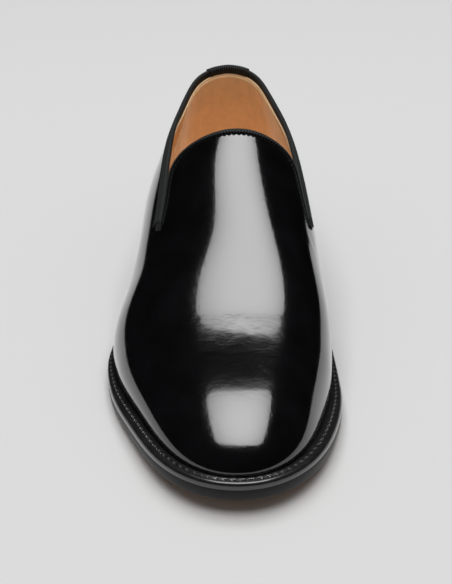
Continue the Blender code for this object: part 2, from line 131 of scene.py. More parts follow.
# The lining starts this deep inside the last's surface and stays this far below the collar, in millimetres.
# The bead on its cut edge has this radius, is wider than it is high by the spread, and is carried in steps.
LINING_DEPTH = 1.8
LINING_DROP = 3.3
EDGE_BEAD = 0.5
EDGE_SPREAD = 1.1
EDGE_STEP = 0.8

# The heel grip's foot as a share of the wall, and in millimetres its top below the lining's edge, its gap off
# the lining and its thickness. On each side its front seam starts at the top on one rib and runs forward on
# its way down, by the slope in ribs over the whole wall, up to a limit.
GRIP_FOOT = 0.08
GRIP_DROP = 0.5
GRIP_CLEAR = 0.05
GRIP_THICKNESS = 0.2
GRIP_TOP = {LATERAL: 1.08, MEDIAL: 1.12}
GRIP_SLOPE = {LATERAL: 0.6, MEDIAL: 3.0}
GRIP_LIMIT = 1.4

# Ribbon, in millimetres: thickness, clearance off the leather, fold past its edge, height of the ribs and of
# its pillowed face, the top of the channel that grips the leather, and the depth and drop of its inner leaf
RIBBON = 0.5
RIBBON_CLEAR = 0.08
RIBBON_FOLD = 1.1
RIBBON_RIB = 0.11
RIBBON_PILLOW = 0.12
RIBBON_CHANNEL = 0.05
RIBBON_INNER = 1.72
RIBBON_INNER_DROP = 4.0

# The fold's height is this power of a sine, so that it is a little squarer than an ellipse
FOLD_POWER = 0.8

# Where the ribs turn from standing outwards to inwards, and how far past the edge they start to lift the fold
RIB_TURN = -0.4
RIB_LIFT_START = 0.1

# The share of the way to the slits' ends that the ribbon runs
RIBBON_END = 0.985

# The hem, in millimetres: how far up from it the stitches pull, how far in, and how far it hangs between them
HEM_HEIGHT = 0.7
HEM_PULL = 0.16
HEM_SCALLOP = 0.3

# On the throat, the shares of the ribbon that show at the middle and at the ends, and the hem's hang
THROAT_WIDTHS = (0.5, 0.22)
THROAT_SCALLOP = 1.5

# The heel tab: the share of the collar, on both sides of the back, on which its ends are looked for, and in
# millimetres its half-length, step over the ribbon and drop below the collar
TAB_SEARCH = 0.4
TAB_HALF_LENGTH = 13.5
TAB_STEP = 0.75
TAB_DROP = 6.4

# Tacks at the slit ends, in millimetres: how many threads, their spacing, half-length, radius and dip. They
# lie on a last stretch of ribs, and lean along the slit by a share.
TACK_THREADS = 5
TACK_STEP = 0.75
TACK_HALF = 2.0
TACK_RADIUS = 0.45
TACK_DIP = 0.5
TACK_RIBS = 0.06
TACK_LEAN = 0.3

# How much of a stitch's radius, squared, is gone at its ends
BEAD_TAPER = 0.86

# Points round the sole's outline, where it is measured and where the heel is cut from it
OUTLINE_STEPS = 1200

# Welt, in millimetres and shares of the sole's projection: the gaps under the upper and under the welt, how
# far in the welt reaches, its points round the shoe, the rounding of its edge, and its groove, whose needle
# holes are a power of a cosine
GAP = 0.3
WELT_INSET = 9.0
WELT_STEPS = 2400
WELT_ROUND_SHARE = 0.38
GROOVE = 0.35
HOLE_SHARPNESS = 16

# Stitches of the welt: where their row lies and starts, their radius, turn in radians, half-length as a share
# of the pitch, sink as a share of the groove, and dip at the ends as a share of the radius
STITCH_SHARE = 0.44
STITCH_START = 78.0
STITCH_RADIUS = 0.72
STITCH_SLANT = 0.5
STITCH_HALF = 0.4
STITCH_SINK = 0.6
STITCH_DIP = 1.3

# Outsole and insole, in millimetres: the outsole's rounding, its seam to the welt and its lip as insets and
# drops, then the insole's inset from the feather edge and its edge as further insets and heights
SOLE_STEPS = 720
OUTSOLE_ROUND = 1.4
SEAM = 0.06
OUTSOLE_LIP = ((0.0, 0.15), (0.1, 0.0))
INSOLE_STEPS = 480
INSOLE_INSET = 3.5
INSOLE_EDGE = ((0.2, 0.1), (0.0, 0.5), (0.0, 2.4), (0.3, 2.8), (0.9, 3.0))

# A face of the outsole whose normal points further down than this shows bare leather
UNDERSIDE = -0.75

# Heel, in millimetres: the top piece's height and its edge as insets and heights, the heel's inset at its
# foot and its top, its gaps and its hollow breast. Each lift has so many steps. The groove between two lifts
# has a depth, and a width as a share of the heel's height.
TOP_PIECE_HEIGHT = 6.0
TOP_PIECE_EDGE = ((0.9, 0.0), (0.35, 0.12), (0.05, 0.5), (0.0, 1.0), (0.0, 5.5), (0.12, 5.85), (0.35, 6.0))
HEEL_TAPER = 1.6
HEEL_TOP_INSET = 0.4
HEEL_GAP = 0.05
BREAST_ALONG = 69.0
BREAST_HOLLOW = 4.0
LIFT_STEPS = 16
LIFT_GROOVE = 0.18
LIFT_GROOVE_SHARE = 0.35 / 16

# The picture height, in millimetres, that the lens is measured against, and where the camera looks, in the
# CAD frame
SENSOR_HEIGHT = 36.0
CAMERA_TARGET = Vector((1.306, -20.24, 24.83)) * MM

# The floor's side and level, and the left, right, front, back and height of each light, in metres
FLOOR_SIZE = 12.0
FLOOR_LEVEL = -0.05 * MM
SOFTBOX = (-0.262, 0.332, -0.254, 0.214, 0.80)
TOP_LIGHT = (-1.9, 1.9, -2.2, 2.0, 4.5)

# How much dimmer the softbox is at the middle of its sides, and of its front and back, than in its middle,
# and the sums of eighth powers between which its rim goes from dark to bright
SOFTBOX_LOSS = (0.46, 0.2)
SOFTBOX_RIM = (1.0, 0.75)

# How far the sole stands out past the upper, in millimetres, against the distance along the last
SOLE_EDGE = (
    (0.0, 3.0),
    (60.0, 2.6),
    (107.0, 2.3),
    (147.0, 2.8),
    (177.0, 2.2),
    (202.0, 2.5),
    (240.0, 5.6),
    (294.0, 4.6),
)


def linear(code):
    """The linear colour of an sRGB hex code."""
    parts = np.array([int(code[i : i + 2], 16) for i in (1, 3, 5)]) / 255
    low = parts / 12.92
    high = ((parts + 0.055) / 1.055) ** 2.4
    return tuple(float(value) for value in np.where(parts <= 0.04045, low, high))


class LoaferSizes(bpy.types.PropertyGroup):
    """Sizes that shape the pieces."""

    last_length: FloatProperty(
        name="Last length", description="Heel to toe of the last", default=0.294, unit="LENGTH"
    )
    ball_width: FloatProperty(
        name="Ball width", description="Width of the last at the ball", default=0.1020, unit="LENGTH"
    )
    instep_height: FloatProperty(
        name="Instep height", description="Height of the last over the instep", default=0.076, unit="LENGTH"
    )
    heel_level: FloatProperty(
        name="Heel level", description="Height of the feather edge at the back", default=0.031, unit="LENGTH"
    )
    leather: FloatProperty(
        name="Upper leather", description="Thickness of the upper leather", default=0.0012, unit="LENGTH"
    )
    lining: FloatProperty(
        name="Lining", description="Thickness of the lining leather", default=0.0008, unit="LENGTH"
    )
    ribbon_drop: FloatProperty(
        name="Ribbon width", description="Width of ribbon that shows below the collar",
        default=0.0042, unit="LENGTH",
    )
    # Drawn coarser than the weave's 1 mm, so that its ribs show
    ribbon_pitch: FloatProperty(
        name="Ribbon rib", description="Distance between the ribs of the ribbon",
        default=0.0015, unit="LENGTH",
    )
    needle_pitch: FloatProperty(
        name="Ribbon stitch", description="Length of a stitch that holds the ribbon",
        default=0.0025, unit="LENGTH",
    )
    welt_pitch: FloatProperty(
        name="Welt stitch", description="Length of a stitch of the welt", default=0.0035, unit="LENGTH"
    )
    welt_thickness: FloatProperty(
        name="Welt", description="Thickness of the welt", default=0.003, unit="LENGTH"
    )
    outsole_thickness: FloatProperty(
        name="Outsole", description="Thickness of the outsole", default=0.00515, unit="LENGTH"
    )
    heel_lifts: IntProperty(name="Heel lifts", description="Leather lifts in the heel", default=3, min=1)


class LoaferColours(bpy.types.PropertyGroup):
    """Colours of the finishes."""

    calf: FloatVectorProperty(
        name="Upper", description="Polished leather", default=linear("#070708"), subtype="COLOR"
    )
    ribbon: FloatVectorProperty(
        name="Ribbon", description="Woven ribbon", default=linear("#151616"), subtype="COLOR"
    )
    lining: FloatVectorProperty(
        name="Lining", description="Lining leather", default=linear("#e2b27d"), subtype="COLOR"
    )
    grip: FloatVectorProperty(
        name="Heel grip", description="Suede heel grip", default=linear("#ebc698"), subtype="COLOR"
    )
    cut_edge: FloatVectorProperty(
        name="Cut edge", description="Raw edge of the lining", default=linear("#ecc79b"), subtype="COLOR"
    )
    welt: FloatVectorProperty(
        name="Welt", description="Inked welt leather", default=linear("#151516"), subtype="COLOR"
    )
    thread: FloatVectorProperty(
        name="Thread", description="Waxed welt thread", default=linear("#2f2e2b"), subtype="COLOR"
    )
    tack: FloatVectorProperty(
        name="Tack", description="Thread that closes the slits", default=linear("#161616"), subtype="COLOR"
    )
    sole_edge: FloatVectorProperty(
        name="Sole edge", description="Inked edge of the sole and heel",
        default=linear("#0e0e0f"), subtype="COLOR",
    )
    sole: FloatVectorProperty(
        name="Sole", description="Natural leather under the sole", default=linear("#a87a4e"), subtype="COLOR"
    )
    rubber: FloatVectorProperty(
        name="Rubber", description="Heel top piece", default=linear("#1a1a1a"), subtype="COLOR"
    )


class LoaferStage(bpy.types.PropertyGroup):
    """The camera, the lights and the floor."""

    floor: FloatVectorProperty(
        name="Floor", description="Painted floor", default=linear("#b3b3b3"), subtype="COLOR"
    )
    fill: FloatProperty(name="Fill", description="Strength of the even light all round", default=0.25, min=0)
    top_light: FloatProperty(
        name="Top light", description="Radiance of the diffuse top light", default=6.75, min=0
    )
    softbox: FloatProperty(
        name="Softbox", description="Radiance that the leather mirrors", default=6.3, min=0
    )
    azimuth: FloatProperty(
        name="Azimuth", description="Turn of the camera round the toe",
        default=math.radians(1.991), subtype="ANGLE",
    )
    elevation: FloatProperty(
        name="Elevation", description="Height of the camera", default=math.radians(29.302), subtype="ANGLE"
    )
    roll: FloatProperty(
        name="Roll", description="Tilt of the picture", default=math.radians(-1.184), subtype="ANGLE"
    )
    distance: FloatProperty(name="Distance", description="Camera to its target", default=0.430, unit="LENGTH")
    lens: FloatProperty(
        name="Lens", description="Focal length against 36 mm of picture height", default=53.31, unit="CAMERA"
    )


def natural_spline(knots, values):
    """A function that is the natural cubic spline through (knots, values)."""
    x = np.asarray(knots, float)
    y = np.asarray(values, float)
    step = np.diff(x)
    slope = np.diff(y) / step
    inner = np.arange(1, len(x) - 1)
    matrix = np.eye(len(x))
    matrix[inner, inner - 1] = step[:-1]
    matrix[inner, inner] = 2 * (step[:-1] + step[1:])
    matrix[inner, inner + 1] = step[1:]
    bend = np.linalg.solve(matrix, np.r_[0, 6 * np.diff(slope), 0])

    def value(at):
        at = np.asarray(at, float)
        i = np.clip(np.searchsorted(x, at) - 1, 0, len(x) - 2)
        left, after, h = at - x[i], x[i + 1] - at, step[i]
        curve = (bend[i] * after**3 + bend[i + 1] * left**3) / (6 * h)
        line = (y[i] / h - bend[i] * h / 6) * after + (y[i + 1] / h - bend[i + 1] * h / 6) * left
        return curve + line

    return value


def unit(vectors):
    """These vectors, each of length one."""
    return vectors / np.maximum(np.linalg.norm(vectors, axis=-1, keepdims=True), 1e-12)


def lengths(points):
    """The distance run along a path of points, from 0 at its start."""
    return np.r_[0, np.cumsum(np.linalg.norm(np.diff(points, axis=0), axis=-1))]


class Last:
    """The form that the shoe is made over, as a surface of ribs and levels, with the collar's lines on it."""

    def __init__(self, sizes):
        table = np.array(SECTIONS)
        self.length = sizes.last_length / MM
        along = table[:, 0] * self.length
        scale = {"level": sizes.heel_level / MM, "crown": sizes.instep_height / MM, "fullness": 1.0}
        self.curve = {
            name: natural_spline(along, table[:, i] * scale.get(name, sizes.ball_width / MM))
            for i, name in enumerate(SECTION_COLUMNS)
            if name != "along"
        }
        self.projection = natural_spline(*np.array(SOLE_EDGE).T)
        self.collar = {side: self.collar_line(side) for side in (LATERAL, MEDIAL)}
        self.middle = np.zeros(2)
        loop = self.outline(OUTLINE_STEPS)
        self.middle = (loop.max(0) + loop.min(0)) / 2

    def to_frame(self, points):
        """Millimetres along, across and up, as metres in the CAD frame."""
        along, across = points[..., 0] - self.middle[0], points[..., 1] - self.middle[1]
        return np.stack([across, -along, points[..., 2]], -1) * MM

    def point(self, rib, side, level):
        """Points on the outside of the last.

        A rib runs from the feather edge (level 0) to the crown (level 1). Its section is a superellipse with
        a bulge. Ribs fan out from the heel centre and the toe centre, and run straight across between them.
        """
        rib, side, level = np.broadcast_arrays(*(np.asarray(a, float) for a in (rib, side, level)))
        heel_turn = np.clip(rib, 0, 1) * math.pi / 2
        toe_turn = np.clip(rib - 2, 0, 1) * math.pi / 2
        back = np.where(rib < 1, np.cos(heel_turn), 0) ** (2 / HEEL_SQUARENESS)
        front = np.where(rib > 2, np.sin(toe_turn), 0) ** (2 / TOE_SQUARENESS)
        outward = np.sin(heel_turn) ** (2 / HEEL_SQUARENESS)
        outward = outward * np.abs(np.cos(toe_turn)) ** (2 / TOE_SQUARENESS)
        root = HEEL_CENTRE + np.clip(rib - 1, 0, 1) * (TOE_CENTRE - HEEL_CENTRE)
        foot = root - back * HEEL_CENTRE + front * (self.length - TOE_CENTRE)
        exponent = 2 / self.curve["fullness"](foot)
        turn = np.clip(level, 0, 1) * math.pi / 2
        rise = np.sin(turn) ** exponent
        reach = np.abs(np.cos(turn)) ** exponent
        along = root + reach * (foot - root)
        swell = self.curve["bulge"](along) + side * outward * self.curve["skew"](along)
        swell = swell * BULGE_PEAK * level * (1 - level) ** 2
        along = along + swell * (TOE_BULGE_SHARE * front - back)
        across = self.curve["centre"](along) + self.curve["lean"](along) * rise
        across = across + side * outward * (reach * self.curve["half_width"](along) + swell)
        up = self.curve["level"](along) + self.curve["crown"](along) * rise
        return np.stack([along, across, up], -1)

    def normal(self, rib, side, level, step=0.004):
        """The outward direction square to the last, from steps along its ribs and levels."""
        up = self.point(rib, side, level + step) - self.point(rib, side, level - step)
        forward = self.point(rib + step, side, level) - self.point(rib - step, side, level)
        normal = unit(np.cross(forward, up))
        point = self.point(rib, side, level)
        along = np.clip(point[..., 0], HEEL_CENTRE, TOE_CENTRE)
        axis = np.stack([along, self.curve["centre"](along), self.curve["level"](along)], -1)
        return normal * np.sign((normal * (point - axis)).sum(-1, keepdims=True))

    def skin(self, rib, side, level, depth):
        """Points this far inside the last's surface."""
        return self.point(rib, side, level) - self.normal(rib, side, level) * depth

    def level_at_height(self, rib, side, height):
        """The level at which each rib stands this far above its feather edge, off a table of its rise."""
        levels = np.linspace(0, 0.8, 321)
        rise = self.point(rib[:, None], side[:, None], levels)[..., 2]
        rise = rise - rise[:, :1]
        after = np.clip((rise < height[:, None]).sum(1), 1, levels.size - 1)
        row = np.arange(len(rib))
        low, high = rise[row, after - 1], rise[row, after]
        return levels[after - 1] + (height - low) / (high - low) * levels[1]

    def slit_half(self, side):
        """Half the slit's width, as a share of the rib that it cuts."""
        rib = self.point(SLIT_RIB[side], side, np.linspace(0, 1, 60))
        return SLIT_WIDTH / 2 / lengths(rib)[-1]

    def collar_line(self, side):
        """A function of the rib that gives the collar's level. Along the slit it is the slit's middle line.

        The collar's height is a spline over its table. The level is a finer spline through where ribs reach
        that height.
        """
        table = dict(zip(QUARTER_COLUMNS, np.array(QUARTER_EDGE).T))
        height = natural_spline(
            table["share"] * SLIT_RIB[side], table["lateral_height" if side < 0 else "medial_height"]
        )
        rib = np.linspace(0, SLIT_RIB[side], 160)
        return natural_spline(rib, self.level_at_height(rib, np.full(rib.size, side), height(rib)))

    def collar_level(self, side, rib):
        """The level of a quarter's edge on these ribs: the collar's line, cut back to the slit's edge."""
        return self.collar[side](rib) - self.slit_half(side) * (rib / SLIT_RIB[side]) ** 2

    def lower(self, rib, side, level, depth):
        """The level this many millimetres down the rib."""
        trial = 0.02
        drop = np.linalg.norm(self.point(rib, side, level) - self.point(rib, side, level - trial), axis=-1)
        return level - trial * depth / drop

    def quarter(self, spread, depth):
        """Rib, side and level this deep below the collar.

        Spread runs from the lateral slit (-1) round the back (0) to the medial slit (1).
        """
        side = np.where(spread < 0, LATERAL, MEDIAL)
        rib = np.abs(spread) * np.where(spread < 0, SLIT_RIB[LATERAL], SLIT_RIB[MEDIAL])
        level = np.where(side < 0, self.collar_level(LATERAL, rib), self.collar_level(MEDIAL, rib))
        shape = (-1,) + (1,) * (np.ndim(depth) - 1)
        rib, side, level = rib.reshape(shape), side.reshape(shape), level.reshape(shape)
        return rib, side, self.lower(rib, side, level, depth)

    def tongue(self, back, across):
        """Rib, side and level on the tongue, whose sides follow the slits.

        Back is 0 at the slits' ends and 1 at the throat. Across runs from lateral (-1) to medial (1).
        """
        back, across = np.broadcast_arrays(np.asarray(back, float), np.asarray(across, float))
        side = np.where(across < 0, LATERAL, MEDIAL)
        rib = SLIT_RIB[LATERAL] + (SLIT_RIB[MEDIAL] - SLIT_RIB[LATERAL]) * (across + 1) / 2
        throat_rib = 1 + (THROAT_ALONG - HEEL_CENTRE) / (TOE_CENTRE - HEEL_CENTRE)
        rib = rib + back * (throat_rib - rib)
        lateral, medial = (
            1 - self.collar[s](np.minimum(rib, SLIT_RIB[s])) - self.slit_half(s) for s in (LATERAL, MEDIAL)
        )
        return rib, side, 1 - np.abs(across) * np.where(across < 0, lateral, medial)

    def throat(self, turn, depth):
        """Rib, side and level on the tongue this deep inside its edge.

        Turn runs from the lateral slit (-1) over the crown (0) to the medial slit (1).
        """
        back, across = throat_edge(turn)
        trial = 0.04
        edge = self.point(*self.tongue(back, across))
        within = self.point(*self.tongue(back * (1 - trial), across * (1 - trial)))
        drop = np.linalg.norm(edge - within, axis=-1)
        shape = (-1,) + (1,) * (np.ndim(depth) - 1)
        shrink = 1 - trial * depth / drop.reshape(shape)
        return self.tongue(back.reshape(shape) * shrink, across.reshape(shape) * shrink)

    def outline(self, count, inset=0.0, feather_inset=None):
        """The sole's plan outline as evenly spaced points, out on the lateral side and home on the medial.

        The loop is the feather edge moved out by the sole's projection less inset, or in by feather_inset.
        """
        ribs = np.linspace(0, 3, 6001)
        lateral = self.point(ribs, LATERAL, 0)[:, :2]
        medial = self.point(ribs, MEDIAL, 0)[::-1, :2]
        whole = np.r_[lateral, medial[1:]]
        run = lengths(whole)
        at = np.linspace(0, run[-1], count, endpoint=False)
        loop = np.stack([np.interp(at, run, whole[:, 0]), np.interp(at, run, whole[:, 1])], -1)
        chord = np.roll(loop, -1, 0) - np.roll(loop, 1, 0)
        normal = unit(np.stack([chord[:, 1], -chord[:, 0]], -1))
        out = self.projection(loop[:, 0]) - inset if feather_inset is None else np.full(count, -feather_inset)
        return loop + normal * out[:, None]


def throat_edge(turn):
    """Back and across on the throat's edge, from the lateral slit (-1) over the crown to the medial slit (1).

    Each half is a quarter of a superellipse, spread so that its side and its top get points alike.
    """
    turn = np.asarray(turn, float)
    square = np.where(turn < 0, THROAT_SQUARENESS[LATERAL], THROAT_SQUARENESS[MEDIAL])
    corner = 2 ** (-1 / square)
    share = np.abs(turn)
    top = np.clip(share * 2, 0, 1) * corner
    side = np.clip(2 - share * 2, 0, 1) * corner
    across = np.where(share < 0.5, top, (1 - side**square) ** (1 / square))
    back = np.where(share < 0.5, (1 - top**square) ** (1 / square), side)
    return back, np.sign(turn) * across


def tongue_patch(rows, columns):
    """A transfinite patch of (back, across) over the tongue, with rows from the slits to the throat."""
    down = np.linspace(0, 1, rows + 1)[:, None]
    over = np.linspace(0, 1, columns + 1)[None]
    left = np.stack(throat_edge(-1 + down / 2), -1)
    right = np.stack(throat_edge(1 - down / 2), -1)
    base = np.stack([np.zeros_like(over), 2 * over - 1], -1)
    top = np.stack(throat_edge(over - 0.5), -1)
    d, o = down[..., None], over[..., None]
    near = (1 - o) * base[:, :1] + o * base[:, -1:]
    far = (1 - o) * top[:, :1] + o * top[:, -1:]
    return (1 - o) * left + o * right + (1 - d) * base + d * top - (1 - d) * near - d * far


def shell_grids(last, wall, crown, heel, quarter, vamp, toe, tongue, drop=0.0):
    """Grids of rib, side and level that cover the upper: two quarters, the vamp, the toe and the tongue.

    The counts say how many squares each stretch gets. The toe's grid is a square folded onto a half disc, so
    it has no pole. Drop keeps the cut edges that many millimetres back from the collar.
    """
    rows = np.linspace(0, 1, wall + 1)
    grids, low = [], {}
    for side in (LATERAL, MEDIAL):
        rib = np.r_[np.linspace(0, 1, heel, endpoint=False), np.linspace(1, SLIT_RIB[side], quarter + 1)]
        level = last.lower(rib, side, last.collar_level(side, rib), drop)
        grids.append(np.broadcast_arrays(rib[:, None], float(side), level[:, None] * rows))
        low[side] = level[-1] * rows

    shrink = 1 - drop / TONGUE_REACH
    base_rib, _, base_level = last.tongue(0, np.linspace(-1, 1, 2 * crown + 1) * shrink)
    start_rib = np.r_[np.full(wall + 1, SLIT_RIB[LATERAL]), base_rib, np.full(wall + 1, SLIT_RIB[MEDIAL])]
    start_level = np.r_[low[LATERAL], base_level, low[MEDIAL][::-1]]
    over = np.linspace(-1, 1, len(start_rib))[None]
    side = np.where(over < 0, LATERAL, MEDIAL)
    ahead = np.linspace(0, 1, vamp + 1)[:, None]
    level = start_level + ahead * (1 - np.abs(over) - start_level)
    grids.append(np.broadcast_arrays(start_rib + ahead * (2 - start_rib), side, level))

    ahead = np.linspace(0, 1, toe + 1)[:, None]
    reach = np.maximum(np.abs(over), ahead)
    steep = np.abs(over) / np.maximum(ahead, 1e-9)
    shallow = ahead / np.maximum(np.abs(over), 1e-9)
    turn = np.where(ahead >= np.abs(over), 1 - steep / 2, shallow / 2)
    turn = np.where(reach > 0, turn, 0)
    grids.append(np.broadcast_arrays(2 + turn, side, 1 - reach))

    patch = tongue_patch(tongue, 2 * crown) * shrink
    grids.append(last.tongue(patch[..., 0], patch[..., 1]))
    return grids


def quads(rows, columns, start=0, close_rows=False, close_columns=False):
    """The squares between neighbours of a grid of point numbers, with its ends joined where asked."""
    index = start + np.arange(rows * columns).reshape(rows, columns)
    if close_rows:
        index = np.r_[index, index[:1]]
    if close_columns:
        index = np.c_[index, index[:, :1]]
    return np.stack([index[:-1, :-1], index[:-1, 1:], index[1:, 1:], index[1:, :-1]], -1).reshape(-1, 4)


def piece(name, points, faces, finishes, replaces=(), sharp=40, weld=0.0):
    """A named object that rides on the shoe, with smooth faces that point out and its finishes."""
    mesh = bpy.data.meshes.new(name)
    mesh.from_pydata(points.reshape(-1, 3), [], faces if isinstance(faces, list) else faces.tolist())
    if weld:
        work = bmesh.new()
        work.from_mesh(mesh)
        bmesh.ops.remove_doubles(work, verts=work.verts, dist=weld)
        bmesh.ops.dissolve_degenerate(work, edges=work.edges, dist=weld)
        bmesh.ops.recalc_face_normals(work, faces=work.faces)
        work.to_mesh(mesh)
        work.free()
    for finish in finishes:
        mesh.materials.append(finish)
    mesh.shade_smooth()
    mesh.set_sharp_from_angle(angle=math.radians(sharp))
    made = bpy.data.objects.new(name, mesh)
    bpy.context.scene.collection.objects.link(made)
    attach(made, "root")
    if replaces:
        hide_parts(*replaces)
    return made


def creased(last, points, normals):
    """Points pressed in by the soft creases: each a Gaussian trough, or ridge, longer than it is wide."""
    sunk = np.zeros(points.shape[:-1])
    for row in CREASES:
        crease = dict(zip(CREASE_COLUMNS, row))
        side = crease["side"]
        rib, level = SLIT_RIB[side] + crease["ahead"], last.collar[side](SLIT_RIB[side]) + crease["above"]
        place = rib, side, level
        middle = last.point(*place)
        step = 0.01
        ahead = unit(last.point(rib + step, side, level) - middle)
        up = unit(last.point(rib, side, level + step) - middle)
        way = math.cos(crease["turn"]) * ahead + math.sin(crease["turn"]) * up
        aside = np.cross(way, last.normal(*place))
        offset = points - middle
        reach = (offset @ way / crease["length"]) ** 2 + (offset @ aside / crease["width"]) ** 2
        reach = reach + (offset @ last.normal(*place) / crease["length"]) ** 2
        sunk = sunk + crease["depth"] * np.exp(-reach)
    return points - normals * sunk[..., None]


def sheet(name, last, grids, depth, finishes, thickness, replaces=(), pressed=False):
    """A sheet of leather over the last, this deep inside it, thickened inwards with its cut edges closed."""
    points, faces, count = [], [], 0
    for place in grids:
        grid = last.skin(*place, depth) if depth else last.point(*place)
        if pressed:
            grid = creased(last, grid, last.normal(*place))
        points.append(last.to_frame(grid).reshape(-1, 3))
        faces.append(quads(*grid.shape[:2], start=count))
        count += grid.shape[0] * grid.shape[1]
    made = piece(
        name, np.concatenate(points), np.concatenate(faces), finishes, replaces, sharp=60, weld=WELD
    )
    wall = made.modifiers.new("thickness", "SOLIDIFY")
    wall.thickness = thickness
    wall.offset = -1
    wall.use_even_offset = True
    wall.material_offset_rim = len(finishes) - 1


def add_uv(mesh, across, along):
    """A UV map in metres from each corner's two distances."""
    layer = mesh.uv_layers.new(name="run")
    layer.data.foreach_set("uv", np.stack([across, along], -1).astype(np.float32).ravel())


def swept(name, last, rings, finishes, replaces=(), closed=False, run=None):
    """A profile carried along a path: rings of profile points, capped at both ends unless the path closes.

    Its UV map holds the distance along the path and the distance round the profile, in metres. Run gives the
    distance of each ring, which is otherwise measured along the first point of the profile.
    """
    count, around = rings.shape[:2]
    faces = quads(count, around, close_rows=closed, close_columns=True)
    if run is None:
        run = lengths(np.r_[rings[:, 0], rings[:1, 0]])
    run = np.r_[run, run[-1]]
    girth = lengths(np.r_[rings[count // 2], rings[count // 2, :1]])
    row, column = np.divmod(np.arange(len(faces)), around)
    corner_row = row[:, None] + np.array([0, 0, 1, 1])
    corner_column = column[:, None] + np.array([0, 1, 1, 0])
    u, v = run[corner_row].ravel() * MM, girth[corner_column].ravel() * MM
    faces = faces.tolist()
    if not closed:
        faces += [list(range(around))[::-1], list(range((count - 1) * around, count * around))]
        u = np.r_[u, np.full(around, run[0] * MM), np.full(around, run[count - 1] * MM)]
        v = np.r_[v, girth[:-1][::-1] * MM, girth[:-1] * MM]
    made = piece(name, last.to_frame(rings), faces, finishes, replaces, sharp=50)
    add_uv(made.data, u, v)


def add(tree, kind, inputs=None, **settings):
    """Adds a node with its settings and gives its outputs. An input takes a value, or an output to link."""
    made = tree.nodes.new(kind)
    for name, value in settings.items():
        setattr(made, name, value)
    for socket, value in (inputs or {}).items():
        if isinstance(value, bpy.types.NodeSocket):
            tree.links.new(value, made.inputs[socket])
        else:
            made.inputs[socket].default_value = value
    return made.outputs


def finish(name, inputs):
    """A material whose shader takes these inputs, each a value or a function that adds nodes for it."""
    material = bpy.data.materials.get(name) or bpy.data.materials.new(name)
    material.use_nodes = True
    tree = material.node_tree
    tree.nodes.clear()
    ready = {socket: value(tree) if callable(value) else value for socket, value in inputs.items()}
    shader = add(tree, "ShaderNodeBsdfPrincipled", ready)
    add(tree, "ShaderNodeOutputMaterial", {"Surface": shader["BSDF"]})
    return material


def opaque(colour):
    """A property's colour with full alpha."""
    return (*colour, 1.0)


def relief(tree, *layers):
    """A bump from layers of (pattern output, height in metres)."""
    total = 0.0
    for pattern, height in layers:
        total = add(tree, "ShaderNodeMath", {0: pattern, 1: height, 2: total}, operation="MULTIPLY_ADD")[0]
    return add(tree, "ShaderNodeBump", {"Height": total, "Distance": 1.0})["Normal"]


def shades(tree, pattern, low, high, dark, light):
    """A colour that goes from dark to light as the pattern goes from low to high."""
    share = add(tree, "ShaderNodeMapRange", {"Value": pattern, "From Min": low, "From Max": high})["Result"]
    mix = {"Factor": share, 6: opaque(dark), 7: opaque(light)}
    return add(tree, "ShaderNodeMix", mix, data_type="RGBA")[2]


def scaled(colour, share):
    """A colour made darker or lighter."""
    return tuple(min(value * share, 1.0) for value in colour)


def pattern(tree, size, kind="ShaderNodeTexNoise", stretch=None, **inputs):
    """A texture on the object's own coordinates, with features about this many millimetres wide.

    A stretch under 1 along an axis draws them out that way.
    """
    place = add(tree, "ShaderNodeTexCoord")["Object"]
    if stretch:
        place = add(tree, "ShaderNodeMapping", {"Vector": place, "Scale": stretch})[0]
    return add(tree, kind, {"Vector": place, "Scale": 1 / (size * MM), **inputs})[0]


def clouded(colour, size, limits, shares, **settings):
    """A function that adds a colour in clouds of this size, shaded from share to share between the limits."""

    def tone(tree):
        dark, light = (scaled(colour, share) for share in shares)
        return shades(tree, pattern(tree, size, **settings), *limits, dark, light)

    return tone


def embossed(*layers):
    """A function that adds a bump from layers of (size, height, the pattern's settings), in millimetres."""

    def bump(tree):
        return relief(tree, *((pattern(tree, size, **more), height * MM) for size, height, more in layers))

    return bump


CELLS = {"kind": "ShaderNodeTexVoronoi"}


def polished_calf(colours):
    """Black calf, waxed and brushed to a mirror: fine pores and a soft unevenness fray every reflection.

    The pores are drawn coarser than they are, so that they show.
    """
    return finish(
        "polished_black_calf",
        {
            "Base Color": clouded(colours.calf, 14, (0.3, 0.7), (0.7, 1.4), Detail=4.0),
            "Roughness": 0.12,
            "IOR": 1.5,
            "Coat Weight": 1.0,
            "Coat Roughness": 0.055,
            "Coat IOR": 1.5,
            "Normal": embossed((1.1, 0.033, {"Detail": 3.0}), (5, 0.06, {"Detail": 2.0})),
        },
    )


def lining_leather(colours):
    """Vegetable-tanned lining, plated smooth: warm orange tan with faint clouds, and dry with a low sheen.

    The pores are drawn coarser than they are, so that they show.
    """
    return finish(
        "tan_lining_leather",
        {
            "Base Color": clouded(colours.lining, 11, (0.35, 0.68), (0.92, 1.06), Detail=6.0),
            "Roughness": 0.6,
            "Specular IOR Level": 0.35,
            "Normal": embossed((0.9, 0.03, CELLS)),
        },
    )


def cut_leather(colours):
    """The skived raw edge of the lining: pale fibres, matt."""
    fibres = clouded(colours.cut_edge, 1.5, (0.3, 0.7), (0.78, 1.05), Detail=4.0)
    return finish("raw_cut_leather", {"Base Color": fibres, "Roughness": 0.85})


def grip_suede(colours):
    """Sueded heel grip: brushed nap in mottled patches, lighter where it has been rubbed, with no gloss.

    The nap is drawn coarser than it is, so that it shows.
    """
    return finish(
        "brushed_tan_suede",
        {
            "Base Color": clouded(colours.grip, 8, (0.34, 0.68), (0.9, 1.05), Detail=5.0, Roughness=0.65),
            "Roughness": 0.95,
            "Specular IOR Level": 0.2,
            "Sheen Weight": 0.12,
            "Sheen Roughness": 0.4,
            "Normal": embossed((0.7, 0.12, {"Detail": 4.0})),
        },
    )


